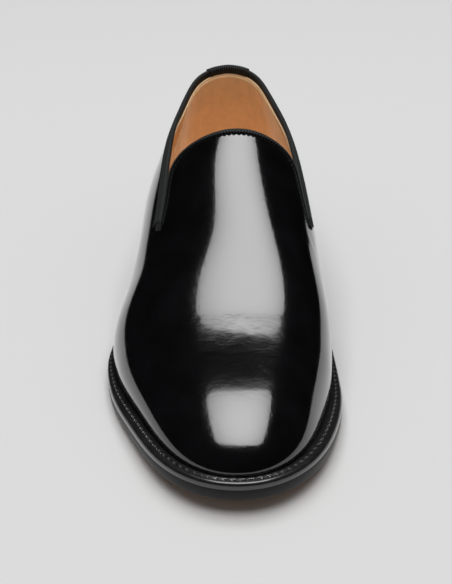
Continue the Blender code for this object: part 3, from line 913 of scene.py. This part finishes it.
def grosgrain(sizes, colours):
    """Grosgrain ribbon, thick weft under a fine warp: a painted highlight makes each rib's top grey, painted
    shade its grooves and hem black.

    The warp's threads are drawn coarser than they are, so that they show, and their colour has a painted
    highlight where their bump stands high.
    """

    def run(tree):
        return add(tree, "ShaderNodeUVMap", uv_map="run")["UV"]

    def threads(tree):
        place = add(tree, "ShaderNodeMapping", {"Vector": run(tree), "Scale": (1.0, 3.0, 1.0)})[0]
        weave = {"Vector": place, "Scale": 1 / (0.7 * MM), "Detail": 3.0}
        return add(tree, "ShaderNodeTexNoise", weave)[0]

    # The share of the ribbon's colour and specular kept near its hem, for painted shade: a tenth within 0.7
    # mm of the hem's edge, all of it from 1.5 mm up.
    def hem(tree, full):
        around = add(tree, "ShaderNodeSeparateXYZ", {0: run(tree)})[1]
        limits = {"From Min": 0.7 * MM, "From Max": 1.5 * MM, "To Min": 0.1 * full, "To Max": full}
        return add(tree, "ShaderNodeMapRange", {"Value": around, **limits})["Result"]

    def tone(tree):
        along = add(tree, "ShaderNodeSeparateXYZ", {0: run(tree)})[0]
        ribs = {0: along, 1: 2 * math.pi / sizes.ribbon_pitch}
        turn = add(tree, "ShaderNodeMath", ribs, operation="MULTIPLY")[0]
        # Painted highlight and shade: the colour is lighter over each rib's top, on the same cosine as the
        # ribs' shape, and darker in the grooves between them. The threads' noise is the same as their bump's,
        # so their raised bumps get a painted highlight too.
        painted_rib_light = add(tree, "ShaderNodeMath", {0: turn}, operation="COSINE")[0]
        mixed = {0: threads(tree), 1: 1.6, 2: painted_rib_light}
        height = add(tree, "ShaderNodeMath", mixed, operation="MULTIPLY_ADD")[0]
        ribbon_with_painted_light = shades(tree, height, 0.2, 1.5, scaled(colours.ribbon, 0.05), scaled(colours.ribbon, 4.4))
        # Painted shade at the hem: the colour goes to black there.
        mix = {"Factor": hem(tree, 1.0), 6: opaque((0, 0, 0)), 7: ribbon_with_painted_light}
        return add(tree, "ShaderNodeMix", mix, data_type="RGBA")[2]

    return finish(
        "black_grosgrain_ribbon",
        {
            "Base Color": tone,
            "Roughness": 0.55,
            # The specular drops at the hem along with its painted shade.
            "Specular IOR Level": lambda tree: hem(tree, 0.14),
            "Normal": lambda tree: relief(tree, (threads(tree), 0.06 * MM)),
        },
    )


def welt_leather(colours):
    """Welt strip, inked and waxed: black with a clear gloss and a fine grain, unevenly inked."""
    return finish(
        "inked_welt_leather",
        {
            "Base Color": clouded(colours.welt, 3, (0.3, 0.75), (0.6, 1.5), Detail=5.0),
            "Roughness": 0.34,
            "Coat Weight": 1.0,
            "Coat Roughness": 0.07,
            "Normal": embossed((0.9, 0.03, {"Detail": 3.0})),
        },
    )


def welt_thread(colours):
    """Waxed linen thread: dark grey plies, darker where the wax has taken ink."""
    wax = clouded(colours.thread, 2.2, (0.3, 0.7), (0.45, 1.2), Detail=4.0)
    return finish("waxed_linen_thread", {"Base Color": wax, "Roughness": 0.5, "Specular IOR Level": 0.5})


def tack_thread(colours):
    """Waxed black thread: dark twisted plies with a low shine, and a painted highlight that lightens them
    where their bump stands high.
    """
    return finish(
        "waxed_black_thread",
        {
            # Painted highlight: this noise is the same as the bump's below, so the plies are lighter where
            # they stand highest.
            "Base Color": clouded(colours.tack, 0.5, (0.35, 0.7), (0.3, 2.2), Detail=2.0),
            "Roughness": 0.55,
            "Specular IOR Level": 0.25,
            "Normal": embossed((0.5, 0.1, {"Detail": 2.0})),
        },
    )


def inked_edge(colours):
    """Sole edge, trimmed, inked and burnished: satin black with faint lines along it from the iron."""
    return finish(
        "burnished_sole_edge",
        {
            "Base Color": clouded(colours.sole_edge, 5, (0.3, 0.7), (0.7, 1.3), Detail=5.0),
            "Roughness": 0.38,
            "Specular IOR Level": 0.3,
            "Normal": embossed((0.5, 0.02, {"stretch": (0.1, 0.1, 1.0), "Detail": 2.0})),
        },
    )


def sole_leather(colours):
    """Oak-bark sole leather, sanded and sealed: pale tan, with fine specks and a brushed run to the toe."""
    brushed = {"stretch": (1.0, 0.15, 1.0), "Detail": 7.0}
    return finish(
        "natural_sole_leather",
        {
            "Base Color": clouded(colours.sole, 3, (0.3, 0.72), (0.75, 1.12), **brushed),
            "Roughness": 0.55,
            "Normal": embossed((0.6, 0.03, {"Detail": 3.0})),
        },
    )


def heel_rubber(colours):
    """Moulded heel rubber: dark grey black, dull, with a fine pebble from its mould."""
    return finish(
        "moulded_heel_rubber",
        {
            "Base Color": clouded(colours.rubber, 6, (0.3, 0.75), (0.8, 1.5), Detail=5.0),
            "Roughness": 0.75,
            "Normal": embossed((1.2, 0.06, CELLS)),
        },
    )


def painted_floor(stage):
    """Painted studio board: flat pale grey, matt, with a trace of roller stipple."""
    return finish(
        "painted_studio_board",
        {
            "Base Color": opaque(stage.floor),
            "Roughness": 1.0,
            "Specular IOR Level": 0.0,
            "Normal": embossed((4, 0.005, {"Detail": 2.0})),
        },
    )


def workbench(scene):
    """The sizes, the colours and the last that every piece is made with."""
    return scene.loafer_sizes, scene.loafer_colours, Last(scene.loafer_sizes)


class LOAFER_OT_upper(bpy.types.Operator):
    """Lasts the polished upper over the form, open at the collar and along the two slits"""

    bl_idname = "loafer.upper"
    bl_label = "Upper"

    def execute(self, context):
        sizes, colours, last = workbench(context.scene)
        grids = shell_grids(last, wall=44, crown=44, heel=40, quarter=64, vamp=56, toe=72, tongue=44)
        calf = [polished_calf(colours)]
        sheet(
            "upper_leather", last, grids, 0.0, calf, sizes.leather, ["upper"], pressed=True
        )
        return {"FINISHED"}


class LOAFER_OT_lining(bpy.types.Operator):
    """Lines the upper in tan leather, with a pale cut edge under the ribbon and a suede grip at the heel"""

    bl_idname = "loafer.lining"
    bl_label = "Lining and heel grip"

    def execute(self, context):
        sizes, colours, last = workbench(context.scene)
        grids = shell_grids(
            last, wall=28, crown=24, heel=30, quarter=40, vamp=24, toe=30, tongue=20, drop=LINING_DROP
        )
        finishes = [lining_leather(colours), cut_leather(colours)]
        sheet("lining", last, grids, LINING_DEPTH, finishes, sizes.lining)

        share = np.linspace(GRIP_FOOT, 1, 41)[None]
        spread = np.linspace(-1, 1, 121)[:, None]
        side = np.where(spread < 0, LATERAL, MEDIAL)
        slope = np.where(spread < 0, GRIP_SLOPE[LATERAL], GRIP_SLOPE[MEDIAL])
        reach = np.where(spread < 0, GRIP_TOP[LATERAL], GRIP_TOP[MEDIAL])
        rib = np.abs(spread) * np.minimum(reach + slope * (1 - share), GRIP_LIMIT)
        top = np.where(side < 0, last.collar_level(LATERAL, rib), last.collar_level(MEDIAL, rib))
        level = last.lower(rib, side, top, LINING_DROP + GRIP_DROP) * share
        depth = LINING_DEPTH + sizes.lining / MM + GRIP_CLEAR
        grip = [np.broadcast_arrays(rib, side, level)]
        suede = [grip_suede(colours)]
        sheet("heel_grip", last, grip, depth, suede, GRIP_THICKNESS * MM)

        run, _ = even_run(last, last.quarter, -RIBBON_END, RIBBON_END, EDGE_STEP)
        turn = np.linspace(0, 2 * math.pi, 10, endpoint=False)
        depth = LINING_DEPTH + sizes.lining / MM / 2 + EDGE_BEAD * np.cos(turn) * EDGE_SPREAD
        rings = collar_rings(last, last.quarter, run, -depth, EDGE_BEAD * np.sin(turn) - LINING_DROP)
        swept("lining_edge", last, rings, [cut_leather(colours)])
        return {"FINISHED"}


def even_run(last, edge, start, stop, step):
    """Places spread evenly along a collar edge, this many millimetres apart, and the distance to each."""
    spread = np.linspace(start, stop, 1201)
    run = lengths(last.point(*edge(spread, np.zeros(spread.size))))
    at = np.linspace(0, run[-1], max(int(run[-1] / step), 2) + 1)
    return np.interp(at, run, spread), at


def collar_rings(last, edge, run, out, beyond):
    """Rings of a profile carried along a collar edge.

    Out is the distance off the leather and beyond the distance past its cut edge. Below the edge (beyond
    under 0) the profile follows the leather down.
    """
    here = edge(run, np.zeros(run.size))
    point, normal = last.point(*here), last.normal(*here)
    past = unit(np.cross(normal, np.gradient(point, axis=0)))
    past = past * np.sign((past * (point - last.point(*edge(run, np.ones(run.size))))).sum(1, keepdims=True))
    out, beyond = np.broadcast_arrays(out, beyond)
    if out.ndim == 1:
        out, beyond = (np.broadcast_to(a, (run.size, a.size)) for a in (out, beyond))
    place = edge(run, np.maximum(-beyond, 0.0))
    rings = last.point(*place) + last.normal(*place) * out[..., None]
    return rings + past[:, None] * np.maximum(beyond, 0.0)[..., None]


def ribbon_profile(lift, outer_drop, inner_drop, leather):
    """The folded ribbon's section as (off the leather, past its edge, rib share).

    Down the back of the outer leaf is the channel that grips the leather. The outer face is slightly
    pillowed, and the fold is near half an ellipse. The rib share says how far the ribs lift each point.
    """
    clear = RIBBON_CLEAR + lift
    face = clear + RIBBON
    inside = -RIBBON_INNER - lift
    down = np.linspace(1, 0, 9)
    outer = np.stack([face + RIBBON_PILLOW * np.sin(down * math.pi), -outer_drop * down], -1)
    turn = np.linspace(0, math.pi, 13)[1:-1]
    middle, half = (face + inside) / 2, (face - inside) / 2
    fold = np.stack([middle + half * np.cos(turn), (RIBBON_FOLD + lift) * np.sin(turn) ** FOLD_POWER], -1)
    inner = np.stack([np.full(5, inside), -inner_drop * np.linspace(0, 1, 5)], -1)
    far, top = -leather - RIBBON_CLEAR, RIBBON_CHANNEL
    channel = np.array([(far, -inner_drop), (far, top), (clear, top), (clear, -outer_drop)])
    points = np.r_[outer, fold, inner, channel]
    share = np.r_[np.full(len(outer) + len(fold) + len(inner), 1.0), np.zeros(len(channel))]
    return points[:, 0], points[:, 1], share


def beads(name, last, place, ahead, up, half, radius, dip, finishes, slot):
    """Stitches as one mesh, each a bead at a place, that runs ahead and stands up, with closed ends.

    A bead's section is a circle. Its radius falls as the root of one less most of the square of the way
    along, and its middle line dips with the fourth power.
    """
    way = np.linspace(-1, 1, 7)
    around = np.linspace(0, 2 * math.pi, 8, endpoint=False)
    fat = radius * np.sqrt(1 - BEAD_TAPER * way**2)
    spine = place[:, None] + ahead[:, None] * (way * half)[:, None] - up[:, None] * (dip * way**4)[:, None]
    side = np.cross(ahead, up)[:, None, None]
    ring = side * np.cos(around)[:, None] + up[:, None, None] * np.sin(around)[:, None]
    points = spine[:, :, None] + ring * fat[:, None, None]
    count, rows, columns = points.shape[:3]
    start = np.arange(count)[:, None] * rows * columns
    faces = (quads(rows, columns, close_columns=True)[None] + start[..., None]).reshape(-1, 4)
    corner = np.arange(columns)
    caps = np.r_[start + corner[::-1], start + corner + (rows - 1) * columns]
    every = faces.tolist() + caps.tolist()
    piece(name, last.to_frame(points), every, finishes, sharp=70, weld=BEAD_WELD)


def folded_ribbon(
    name, last, edge, start, stop, profile, sizes, finishes, replaces, widths=(1.0, 1.0), scallop=HEM_SCALLOP
):
    """A ribbon folded over a collar edge, ribbed across by its weave and pulled in at its hem by stitches.

    Widths are the shares of the outer leaf that show at the middle of the run and at its ends. The ribs are a
    cosine of the distance run, and the hem hangs in scallops, each half a sine, between the stitches.
    """
    run, at = even_run(last, edge, start, stop, sizes.ribbon_pitch / MM / 4)
    out, beyond, share = profile
    rib = np.cos(2 * math.pi * at * MM / sizes.ribbon_pitch)[:, None]
    pull = np.abs(np.sin(math.pi * at * MM / sizes.needle_pitch))[:, None]
    outer = out > 0
    low = np.exp(-((beyond - beyond.min()) / HEM_HEIGHT) ** 2) * outer
    out = out + RIBBON_RIB * rib * share * np.sign(out - RIB_TURN) - HEM_PULL * (1 - pull) ** 2 * low
    beyond = beyond + RIBBON_RIB * rib * share * (beyond > RIB_LIFT_START)
    middle, ends = widths
    width = middle + (ends - middle) * np.abs(run[:, None]) ** 3
    beyond = np.where((beyond < 0) & outer, beyond * width, beyond) - scallop * width * pull * low
    rings = collar_rings(last, edge, run, out, beyond)
    swept(name, last, rings, finishes, replaces, run=at)


class LOAFER_OT_ribbons(bpy.types.Operator):
    """Binds the collar and the tongue in grosgrain ribbon, with a tab over the back"""

    bl_idname = "loafer.ribbons"
    bl_label = "Ribbon bindings"

    def execute(self, context):
        sizes, colours, last = workbench(context.scene)
        ribbon_with_painted_light = [grosgrain(sizes, colours)]
        drop, leather = sizes.ribbon_drop / MM, sizes.leather / MM
        plain = ribbon_profile(0.0, drop, RIBBON_INNER_DROP, leather)
        ends = (-RIBBON_END, RIBBON_END)
        folded_ribbon("quarter_ribbon", last, last.quarter, *ends, plain, sizes, ribbon_with_painted_light, ["quarter_binding"])
        folded_ribbon(
            "throat_ribbon", last, last.throat, *ends, plain, sizes, ribbon_with_painted_light, ["throat_binding"],
            THROAT_WIDTHS, THROAT_SCALLOP,
        )
        spread = np.linspace(-TAB_SEARCH, TAB_SEARCH, 401)
        run = lengths(last.point(*last.quarter(spread, np.zeros(spread.size))))
        reach = np.interp([-TAB_HALF_LENGTH, TAB_HALF_LENGTH], run - run[run.size // 2], spread)
        over = ribbon_profile(TAB_STEP, TAB_DROP, RIBBON_INNER_DROP, leather)
        folded_ribbon("heel_tab_ribbon", last, last.quarter, *reach, over, sizes, ribbon_with_painted_light, ["heel_tab"])
        self.tack(last, [tack_thread(colours)])
        return {"FINISHED"}

    def tack(self, last, finishes):
        """The threads that close each slit's end: short bars side by side across it, over the ribbons."""
        place, ahead, up = [], [], []
        for side in (LATERAL, MEDIAL):
            rib = np.linspace(SLIT_RIB[side] - TACK_RIBS, SLIT_RIB[side], 61)
            line = last.collar[side](rib)
            points, normals = last.point(rib, side, line), last.normal(rib, side, line)
            run = lengths(points)
            at = run[-1] - np.arange(TACK_THREADS) * TACK_STEP
            middle, out = (
                np.stack([np.interp(at, run, values[:, i]) for i in range(3)], -1)
                for values in (points, normals)
            )
            out = unit(out)
            slit = points[-1] - points[0]
            place.append(middle + out * RIBBON)
            ahead.append(unit(unit(np.cross(out, slit)) + TACK_LEAN * unit(slit)))
            up.append(out)
        places = (np.concatenate(values) for values in (place, ahead, up))
        beads("slit_tacks", last, *places, TACK_HALF, TACK_RADIUS, TACK_DIP, finishes, "ribbon")


def welt_top(last, along):
    """The welt's upper face, under the feather edge."""
    return last.curve["level"](along) - GAP


def outsole_top(last, sizes, along):
    """The outsole's upper face, under the welt."""
    return welt_top(last, along) - sizes.welt_thickness / MM - GAP


def outsole_bottom(last, sizes, along):
    """The outsole's lower face, flat on the floor under the ball."""
    return np.maximum(outsole_top(last, sizes, along) - sizes.outsole_thickness / MM, 0.0)


def ledge(last, count, share, extra):
    """Plan points on the welt: the feather edge moved out by a share of the sole's projection, and extra."""
    feather, edge = last.outline(count, feather_inset=0.0), last.outline(count)
    return feather + (edge - feather) * share + unit(edge - feather) * extra


class LOAFER_OT_welt(bpy.types.Operator):
    """Runs the welt round the shoe, with a stitch groove and a row of waxed stitches along the forepart"""

    bl_idname = "loafer.welt"
    bl_label = "Welt and stitches"

    def execute(self, context):
        sizes, colours, last = workbench(context.scene)
        thick = sizes.welt_thickness / MM
        # Share of the projection, then in millimetres: extra, height over the top and the needle's press
        section = [
            (0.0, -WELT_INSET, -thick, 0.0),
            (0.0, -WELT_INSET, 0.0, 0.0),
            (0.0, -1.0, 0.0, 0.0),
            (0.0, -0.1, -0.35, 0.0),
            (0.04, 0.15, 0.0, 0.0),
            (STITCH_SHARE - 0.16, 0.0, 0.05, 0.0),
            (STITCH_SHARE - 0.11, 0.0, -0.06, 0.15),
            (STITCH_SHARE - 0.05, 0.0, -GROOVE, 0.4),
            (STITCH_SHARE + 0.05, 0.0, -GROOVE, 0.4),
            (STITCH_SHARE + 0.10, 0.0, -0.06, 0.15),
            (STITCH_SHARE + 0.14, 0.0, 0.05, 0.0),
        ]
        edge = last.outline(WELT_STEPS)
        run = lengths(np.r_[edge, edge[:1]])[:-1]
        hole = np.cos(math.pi * run * MM / sizes.welt_pitch) ** HOLE_SHARPNESS
        rings = []
        for share, extra, height, press in section:
            plan = ledge(last, WELT_STEPS, share, extra)
            stitched = plan[:, 0] > STITCH_START
            up = welt_top(last, plan[:, 0]) + height - press * hole * stitched
            rings.append(np.c_[plan, up])
        for turn in np.linspace(0, math.pi / 2, 8):
            plan = ledge(last, WELT_STEPS, 1 - WELT_ROUND_SHARE * (1 - math.sin(turn)), 0.0)
            drop = WELT_ROUND_SHARE * last.projection(edge[:, 0]) * (1 - math.cos(turn))
            rings.append(np.c_[plan, welt_top(last, plan[:, 0]) - drop])
        rings.append(np.c_[edge, welt_top(last, edge[:, 0]) - thick])
        finishes = [welt_leather(colours)]
        swept("welt_strip", last, np.stack(rings, 1), finishes, ["welt"], closed=True)
        self.stitch(last, sizes, [welt_thread(colours)])
        return {"FINISHED"}

    def stitch(self, last, sizes, finishes):
        """One row of stitches along the groove, each turned a little across the seam."""
        line = ledge(last, WELT_STEPS, STITCH_SHARE, 0.0)
        line = np.r_[line, line[:1]]
        run = lengths(line)
        pitch = sizes.welt_pitch / MM
        middle = (np.arange(int(run[-1] / pitch)) + 0.5) * pitch
        middle = middle[np.interp(middle, run, line[:, 0]) > STITCH_START + pitch]
        place = np.stack([np.interp(middle, run, line[:, i]) for i in (0, 1)], -1)
        forward = unit(np.stack([np.interp(middle + 0.5, run, line[:, i]) for i in (0, 1)], -1) - place)
        aside = np.stack([forward[:, 1], -forward[:, 0]], -1)
        ahead = forward * math.cos(STITCH_SLANT) + aside * math.sin(STITCH_SLANT)
        flat = np.zeros((len(place), 1))
        height = welt_top(last, place[:, :1]) - GROOVE * STITCH_SINK
        places = np.c_[place, height], np.c_[ahead, flat], np.c_[flat, flat, flat + 1]
        half, dip = pitch * STITCH_HALF, STITCH_RADIUS * STITCH_DIP
        beads("welt_stitches", last, *places, half, STITCH_RADIUS, dip, finishes, "welt_leather")


def plate(name, last, rings, finishes, replaces, across=16, under=None):
    """A plate whose edge runs through rings of outline points, bottom to top, with a net over both faces.

    The nets join the outline's two halves with straight strips. Under gives the height of the bottom net.
    """
    count, around = rings.shape[:2]
    half = around // 2
    share = np.linspace(0, 1, across + 1)[:, None, None]
    left = np.arange(half + 1)
    right = np.r_[0, np.arange(around - 1, half - 1, -1)]
    points = [rings.reshape(-1, 3)]
    faces = [quads(count, around, close_columns=True)]
    total = count * around
    for ring, height in ((rings[0], under), (rings[-1], None)):
        net = ring[left] * (1 - share) + ring[right] * share
        if height is not None:
            net[1:-1, :, 2] = height(net[1:-1, :, 0])
        points.append(net.reshape(-1, 3))
        faces.append(quads(across + 1, half + 1, start=total))
        total += (across + 1) * (half + 1)
    points = last.to_frame(np.concatenate(points))
    return piece(name, points, np.concatenate(faces), finishes, replaces, weld=PLATE_WELD)


class LOAFER_OT_sole(bpy.types.Operator):
    """Cuts the outsole and the insole from leather"""

    bl_idname = "loafer.sole"
    bl_label = "Outsole and insole"

    def execute(self, context):
        sizes, colours, last = workbench(context.scene)
        rings = []
        for angle in np.linspace(0, math.pi / 2, 6):
            loop = last.outline(SOLE_STEPS, OUTSOLE_ROUND * (1 - math.sin(angle)))
            up = outsole_bottom(last, sizes, loop[:, 0]) + OUTSOLE_ROUND * (1 - math.cos(angle))
            rings.append(np.c_[loop, up])
        for inset, below in OUTSOLE_LIP:
            loop = last.outline(SOLE_STEPS, inset)
            rings.append(np.c_[loop, outsole_top(last, sizes, loop[:, 0]) + GAP - SEAM - below])
        finishes = [inked_edge(colours), sole_leather(colours)]
        made = plate(
            "leather_outsole", last, np.stack(rings), finishes, ["outsole"],
            under=lambda along: outsole_bottom(last, sizes, along),
        )
        normals = np.empty(len(made.data.polygons) * 3)
        made.data.polygons.foreach_get("normal", normals)
        made.data.polygons.foreach_set("material_index", (normals[2::3] < UNDERSIDE).astype(np.int32))

        rings = []
        for inset, height in INSOLE_EDGE:
            loop = last.outline(INSOLE_STEPS, feather_inset=INSOLE_INSET + inset)
            rings.append(np.c_[loop, last.curve["level"](loop[:, 0]) + height])
        plate("insole_sock", last, np.stack(rings), [lining_leather(colours)], ["insole"])
        return {"FINISHED"}


def heel_loop(last, inset, side_points=120, breast_points=40):
    """The heel's plan outline: the sole's edge moved in, closed by a breast hollowed as a parabola."""
    whole = last.outline(OUTLINE_STEPS, inset)
    half = len(whole) // 2
    lateral, medial = whole[: half + 1], np.r_[whole[:1], whole[: half - 1 : -1]]
    front = half // 2
    ends = []
    for path in (lateral[:front], medial[:front]):
        stop = np.interp(BREAST_ALONG, path[:, 0], np.arange(front))
        at = np.linspace(0, stop, side_points)
        ends.append(np.stack([np.interp(at, np.arange(front), path[:, i]) for i in (0, 1)], -1))
    over = np.linspace(0, 1, breast_points + 2)[1:-1, None]
    breast = ends[0][-1] * (1 - over) + ends[1][-1] * over
    breast[:, 0] -= BREAST_HOLLOW * 4 * (over * (1 - over))[:, 0]
    return np.r_[ends[0], breast, ends[1][:0:-1]]


class LOAFER_OT_heel(bpy.types.Operator):
    """Builds the heel: leather lifts with a rubber top piece"""

    bl_idname = "loafer.heel"
    bl_label = "Heel"

    def execute(self, context):
        sizes, colours, last = workbench(context.scene)
        base = TOP_PIECE_HEIGHT + HEEL_GAP
        share = np.linspace(0, 1, LIFT_STEPS * sizes.heel_lifts + 1)
        seam = np.abs((share * sizes.heel_lifts + 0.5) % 1 - 0.5) / sizes.heel_lifts
        groove = LIFT_GROOVE * np.exp(-((seam / LIFT_GROOVE_SHARE) ** 2))
        rings = []
        for s, cut in zip(share, groove):
            loop = heel_loop(last, HEEL_TAPER + (HEEL_TOP_INSET - HEEL_TAPER) * s + cut)
            top = outsole_top(last, sizes, loop[:, 0]) - sizes.outsole_thickness / MM - HEEL_GAP
            rings.append(np.c_[loop, base + (top - base) * s])
        self.block("heel_lifts", last, rings, [inked_edge(colours)], "sole_leather", ["heel_stack"])

        rings = []
        for inset, up in TOP_PIECE_EDGE:
            loop = heel_loop(last, HEEL_TAPER + inset)
            rings.append(np.c_[loop, np.full(len(loop), up)])
        self.block("heel_top_piece", last, rings, [heel_rubber(colours)], "heel_rubber", ["top_piece"])
        return {"FINISHED"}

    def block(self, name, last, rings, finishes, slot, replaces):
        """A block through rings of the heel's outline, closed by one face at its foot and one at its top."""
        rings = np.stack(rings)
        count, around = rings.shape[:2]
        faces = quads(count, around, close_columns=True).tolist()
        faces += [list(range(around))[::-1], list(range((count - 1) * around, count * around))]
        piece(name, last.to_frame(rings), faces, finishes, replaces, weld=PLATE_WELD)


class LOAFER_OT_stage(bpy.types.Operator):
    """Sets the floor, the lights and the camera"""

    bl_idname = "loafer.stage"
    bl_label = "Stage"

    def execute(self, context):
        scene, stage = context.scene, context.scene.loafer_stage
        scene.view_settings.view_transform = "Standard"
        world = bpy.data.worlds.new("studio_fill")
        world.use_nodes = True
        light = world.node_tree.nodes["Background"]
        light.inputs["Color"].default_value = (1, 1, 1, 1)
        light.inputs["Strength"].default_value = stage.fill
        world.cycles_visibility.glossy = False
        scene.world = world

        half = FLOOR_SIZE / 2
        mesh = bpy.data.meshes.new("floor")
        corners = np.array([(-1, -1), (1, -1), (1, 1), (-1, 1)]) * half
        mesh.from_pydata(np.c_[corners, np.full(4, FLOOR_LEVEL)], [], [(0, 1, 2, 3)])
        mesh.materials.append(painted_floor(stage))
        floor = bpy.data.objects.new("floor", mesh)
        scene.collection.objects.link(floor)

        self.softbox(scene, "softbox", SOFTBOX, stage.softbox, glossy=True)
        self.softbox(scene, "top_light", TOP_LIGHT, stage.top_light, glossy=False)
        self.camera(scene, stage)
        return {"FINISHED"}

    def softbox(self, scene, name, place, radiance, glossy):
        """A rectangle of light that faces down, seen by mirrors alone or by dull surfaces alone."""
        left, right, front, back, height = place
        light = bpy.data.lights.new(name, "AREA")
        light.shape = "RECTANGLE"
        light.size, light.size_y = right - left, back - front
        light.energy = radiance * math.pi * light.size * light.size_y
        if glossy:
            self.glow(light)
        lamp = bpy.data.objects.new(name, light)
        lamp.location = ((left + right) / 2, (front + back) / 2, height)
        lamp.visible_camera = False
        lamp.visible_glossy = glossy
        lamp.visible_diffuse = not glossy
        scene.collection.objects.link(lamp)

    def glow(self, light):
        """Dims a light by the square of the way from its middle, and rounds it by the eighth power."""
        light.use_nodes = True
        tree = light.node_tree
        tree.nodes.clear()

        def step(operation, *values):
            return add(tree, "ShaderNodeMath", dict(enumerate(values)), operation=operation)[0]

        place = add(tree, "ShaderNodeSeparateXYZ", {0: add(tree, "ShaderNodeNewGeometry")["Parametric"]})
        ways = [step("MULTIPLY_ADD", place[i], 2.0, -1.0) for i in (0, 1)]
        squares = [step("MULTIPLY", way, way) for way in ways]
        bright = 1.0
        for square, loss in zip(squares, SOFTBOX_LOSS):
            bright = step("MULTIPLY_ADD", square, -loss, bright)
        corner = step("ADD", *(step("POWER", square, 4.0) for square in squares))
        rim = {"Value": corner, "From Min": SOFTBOX_RIM[0], "From Max": SOFTBOX_RIM[1]}
        inside = add(tree, "ShaderNodeMapRange", rim, interpolation_type="SMOOTHSTEP")["Result"]
        glowing = add(tree, "ShaderNodeEmission", {"Strength": step("MULTIPLY", bright, inside)})
        add(tree, "ShaderNodeOutputLight", {"Surface": glowing["Emission"]})

    def camera(self, scene, stage):
        """The camera looks down on the toe from in front, with a slight roll."""
        azimuth, elevation, roll = stage.azimuth, stage.elevation, stage.roll
        flat = math.cos(elevation)
        back = Vector((math.sin(azimuth) * flat, -math.cos(azimuth) * flat, math.sin(elevation)))
        right = (-back).cross(Vector((0, 0, 1))).normalized()
        up = right.cross(-back)
        rolled_right = math.cos(roll) * right + math.sin(roll) * up
        rolled_up = math.cos(roll) * up - math.sin(roll) * right
        data = bpy.data.cameras.new("camera")
        data.sensor_fit = "VERTICAL"
        data.sensor_height = SENSOR_HEIGHT
        data.lens = stage.lens
        data.clip_start = 0.01
        camera = bpy.data.objects.new("camera", data)
        turn = Matrix((rolled_right, rolled_up, back)).transposed().to_4x4()
        camera.matrix_world = Matrix.Translation(CAMERA_TARGET + back * stage.distance) @ turn
        scene.collection.objects.link(camera)
        scene.camera = camera


GROUPS = {"loafer_sizes": LoaferSizes, "loafer_colours": LoaferColours, "loafer_stage": LoaferStage}

OPERATORS = (
    LOAFER_OT_upper,
    LOAFER_OT_lining,
    LOAFER_OT_ribbons,
    LOAFER_OT_welt,
    LOAFER_OT_sole,
    LOAFER_OT_heel,
    LOAFER_OT_stage,
)


class LOAFER_PT_pieces(bpy.types.Panel):
    """Lists the loafer's pieces, sizes and colours"""

    bl_idname = "LOAFER_PT_pieces"
    bl_label = "Slip-on loafer"
    bl_space_type = "VIEW_3D"
    bl_region_type = "UI"
    bl_category = "Loafer"

    def draw(self, context):
        for operator in OPERATORS:
            self.layout.operator(operator.bl_idname)
        for name in GROUPS:
            group = getattr(context.scene, name)
            box = self.layout.box()
            for prop in group.bl_rna.properties:
                if prop.identifier not in ("rna_type", "name"):
                    box.prop(group, prop.identifier)


def register():
    """Registers the property groups, the operators and the panel."""
    for name, group in GROUPS.items():
        bpy.utils.register_class(group)
        setattr(bpy.types.Scene, name, PointerProperty(type=group))
    for operator in OPERATORS:
        bpy.utils.register_class(operator)
    bpy.utils.register_class(LOAFER_PT_pieces)


def unregister():
    """Takes away what register added."""
    bpy.utils.unregister_class(LOAFER_PT_pieces)
    for operator in OPERATORS:
        bpy.utils.unregister_class(operator)
    for name, group in GROUPS.items():
        delattr(bpy.types.Scene, name)
        bpy.utils.unregister_class(group)


def main():
    """Builds every piece over the frame."""
    for leftover in ("Cube", "Light", "Camera"):
        if leftover in bpy.data.objects:
            bpy.data.objects.remove(bpy.data.objects[leftover])
    register()
    bpy.ops.loafer.upper()
    bpy.ops.loafer.lining()
    bpy.ops.loafer.ribbons()
    bpy.ops.loafer.welt()
    bpy.ops.loafer.sole()
    bpy.ops.loafer.heel()
    bpy.ops.loafer.stage()


if __name__ == "__main__":
    main()
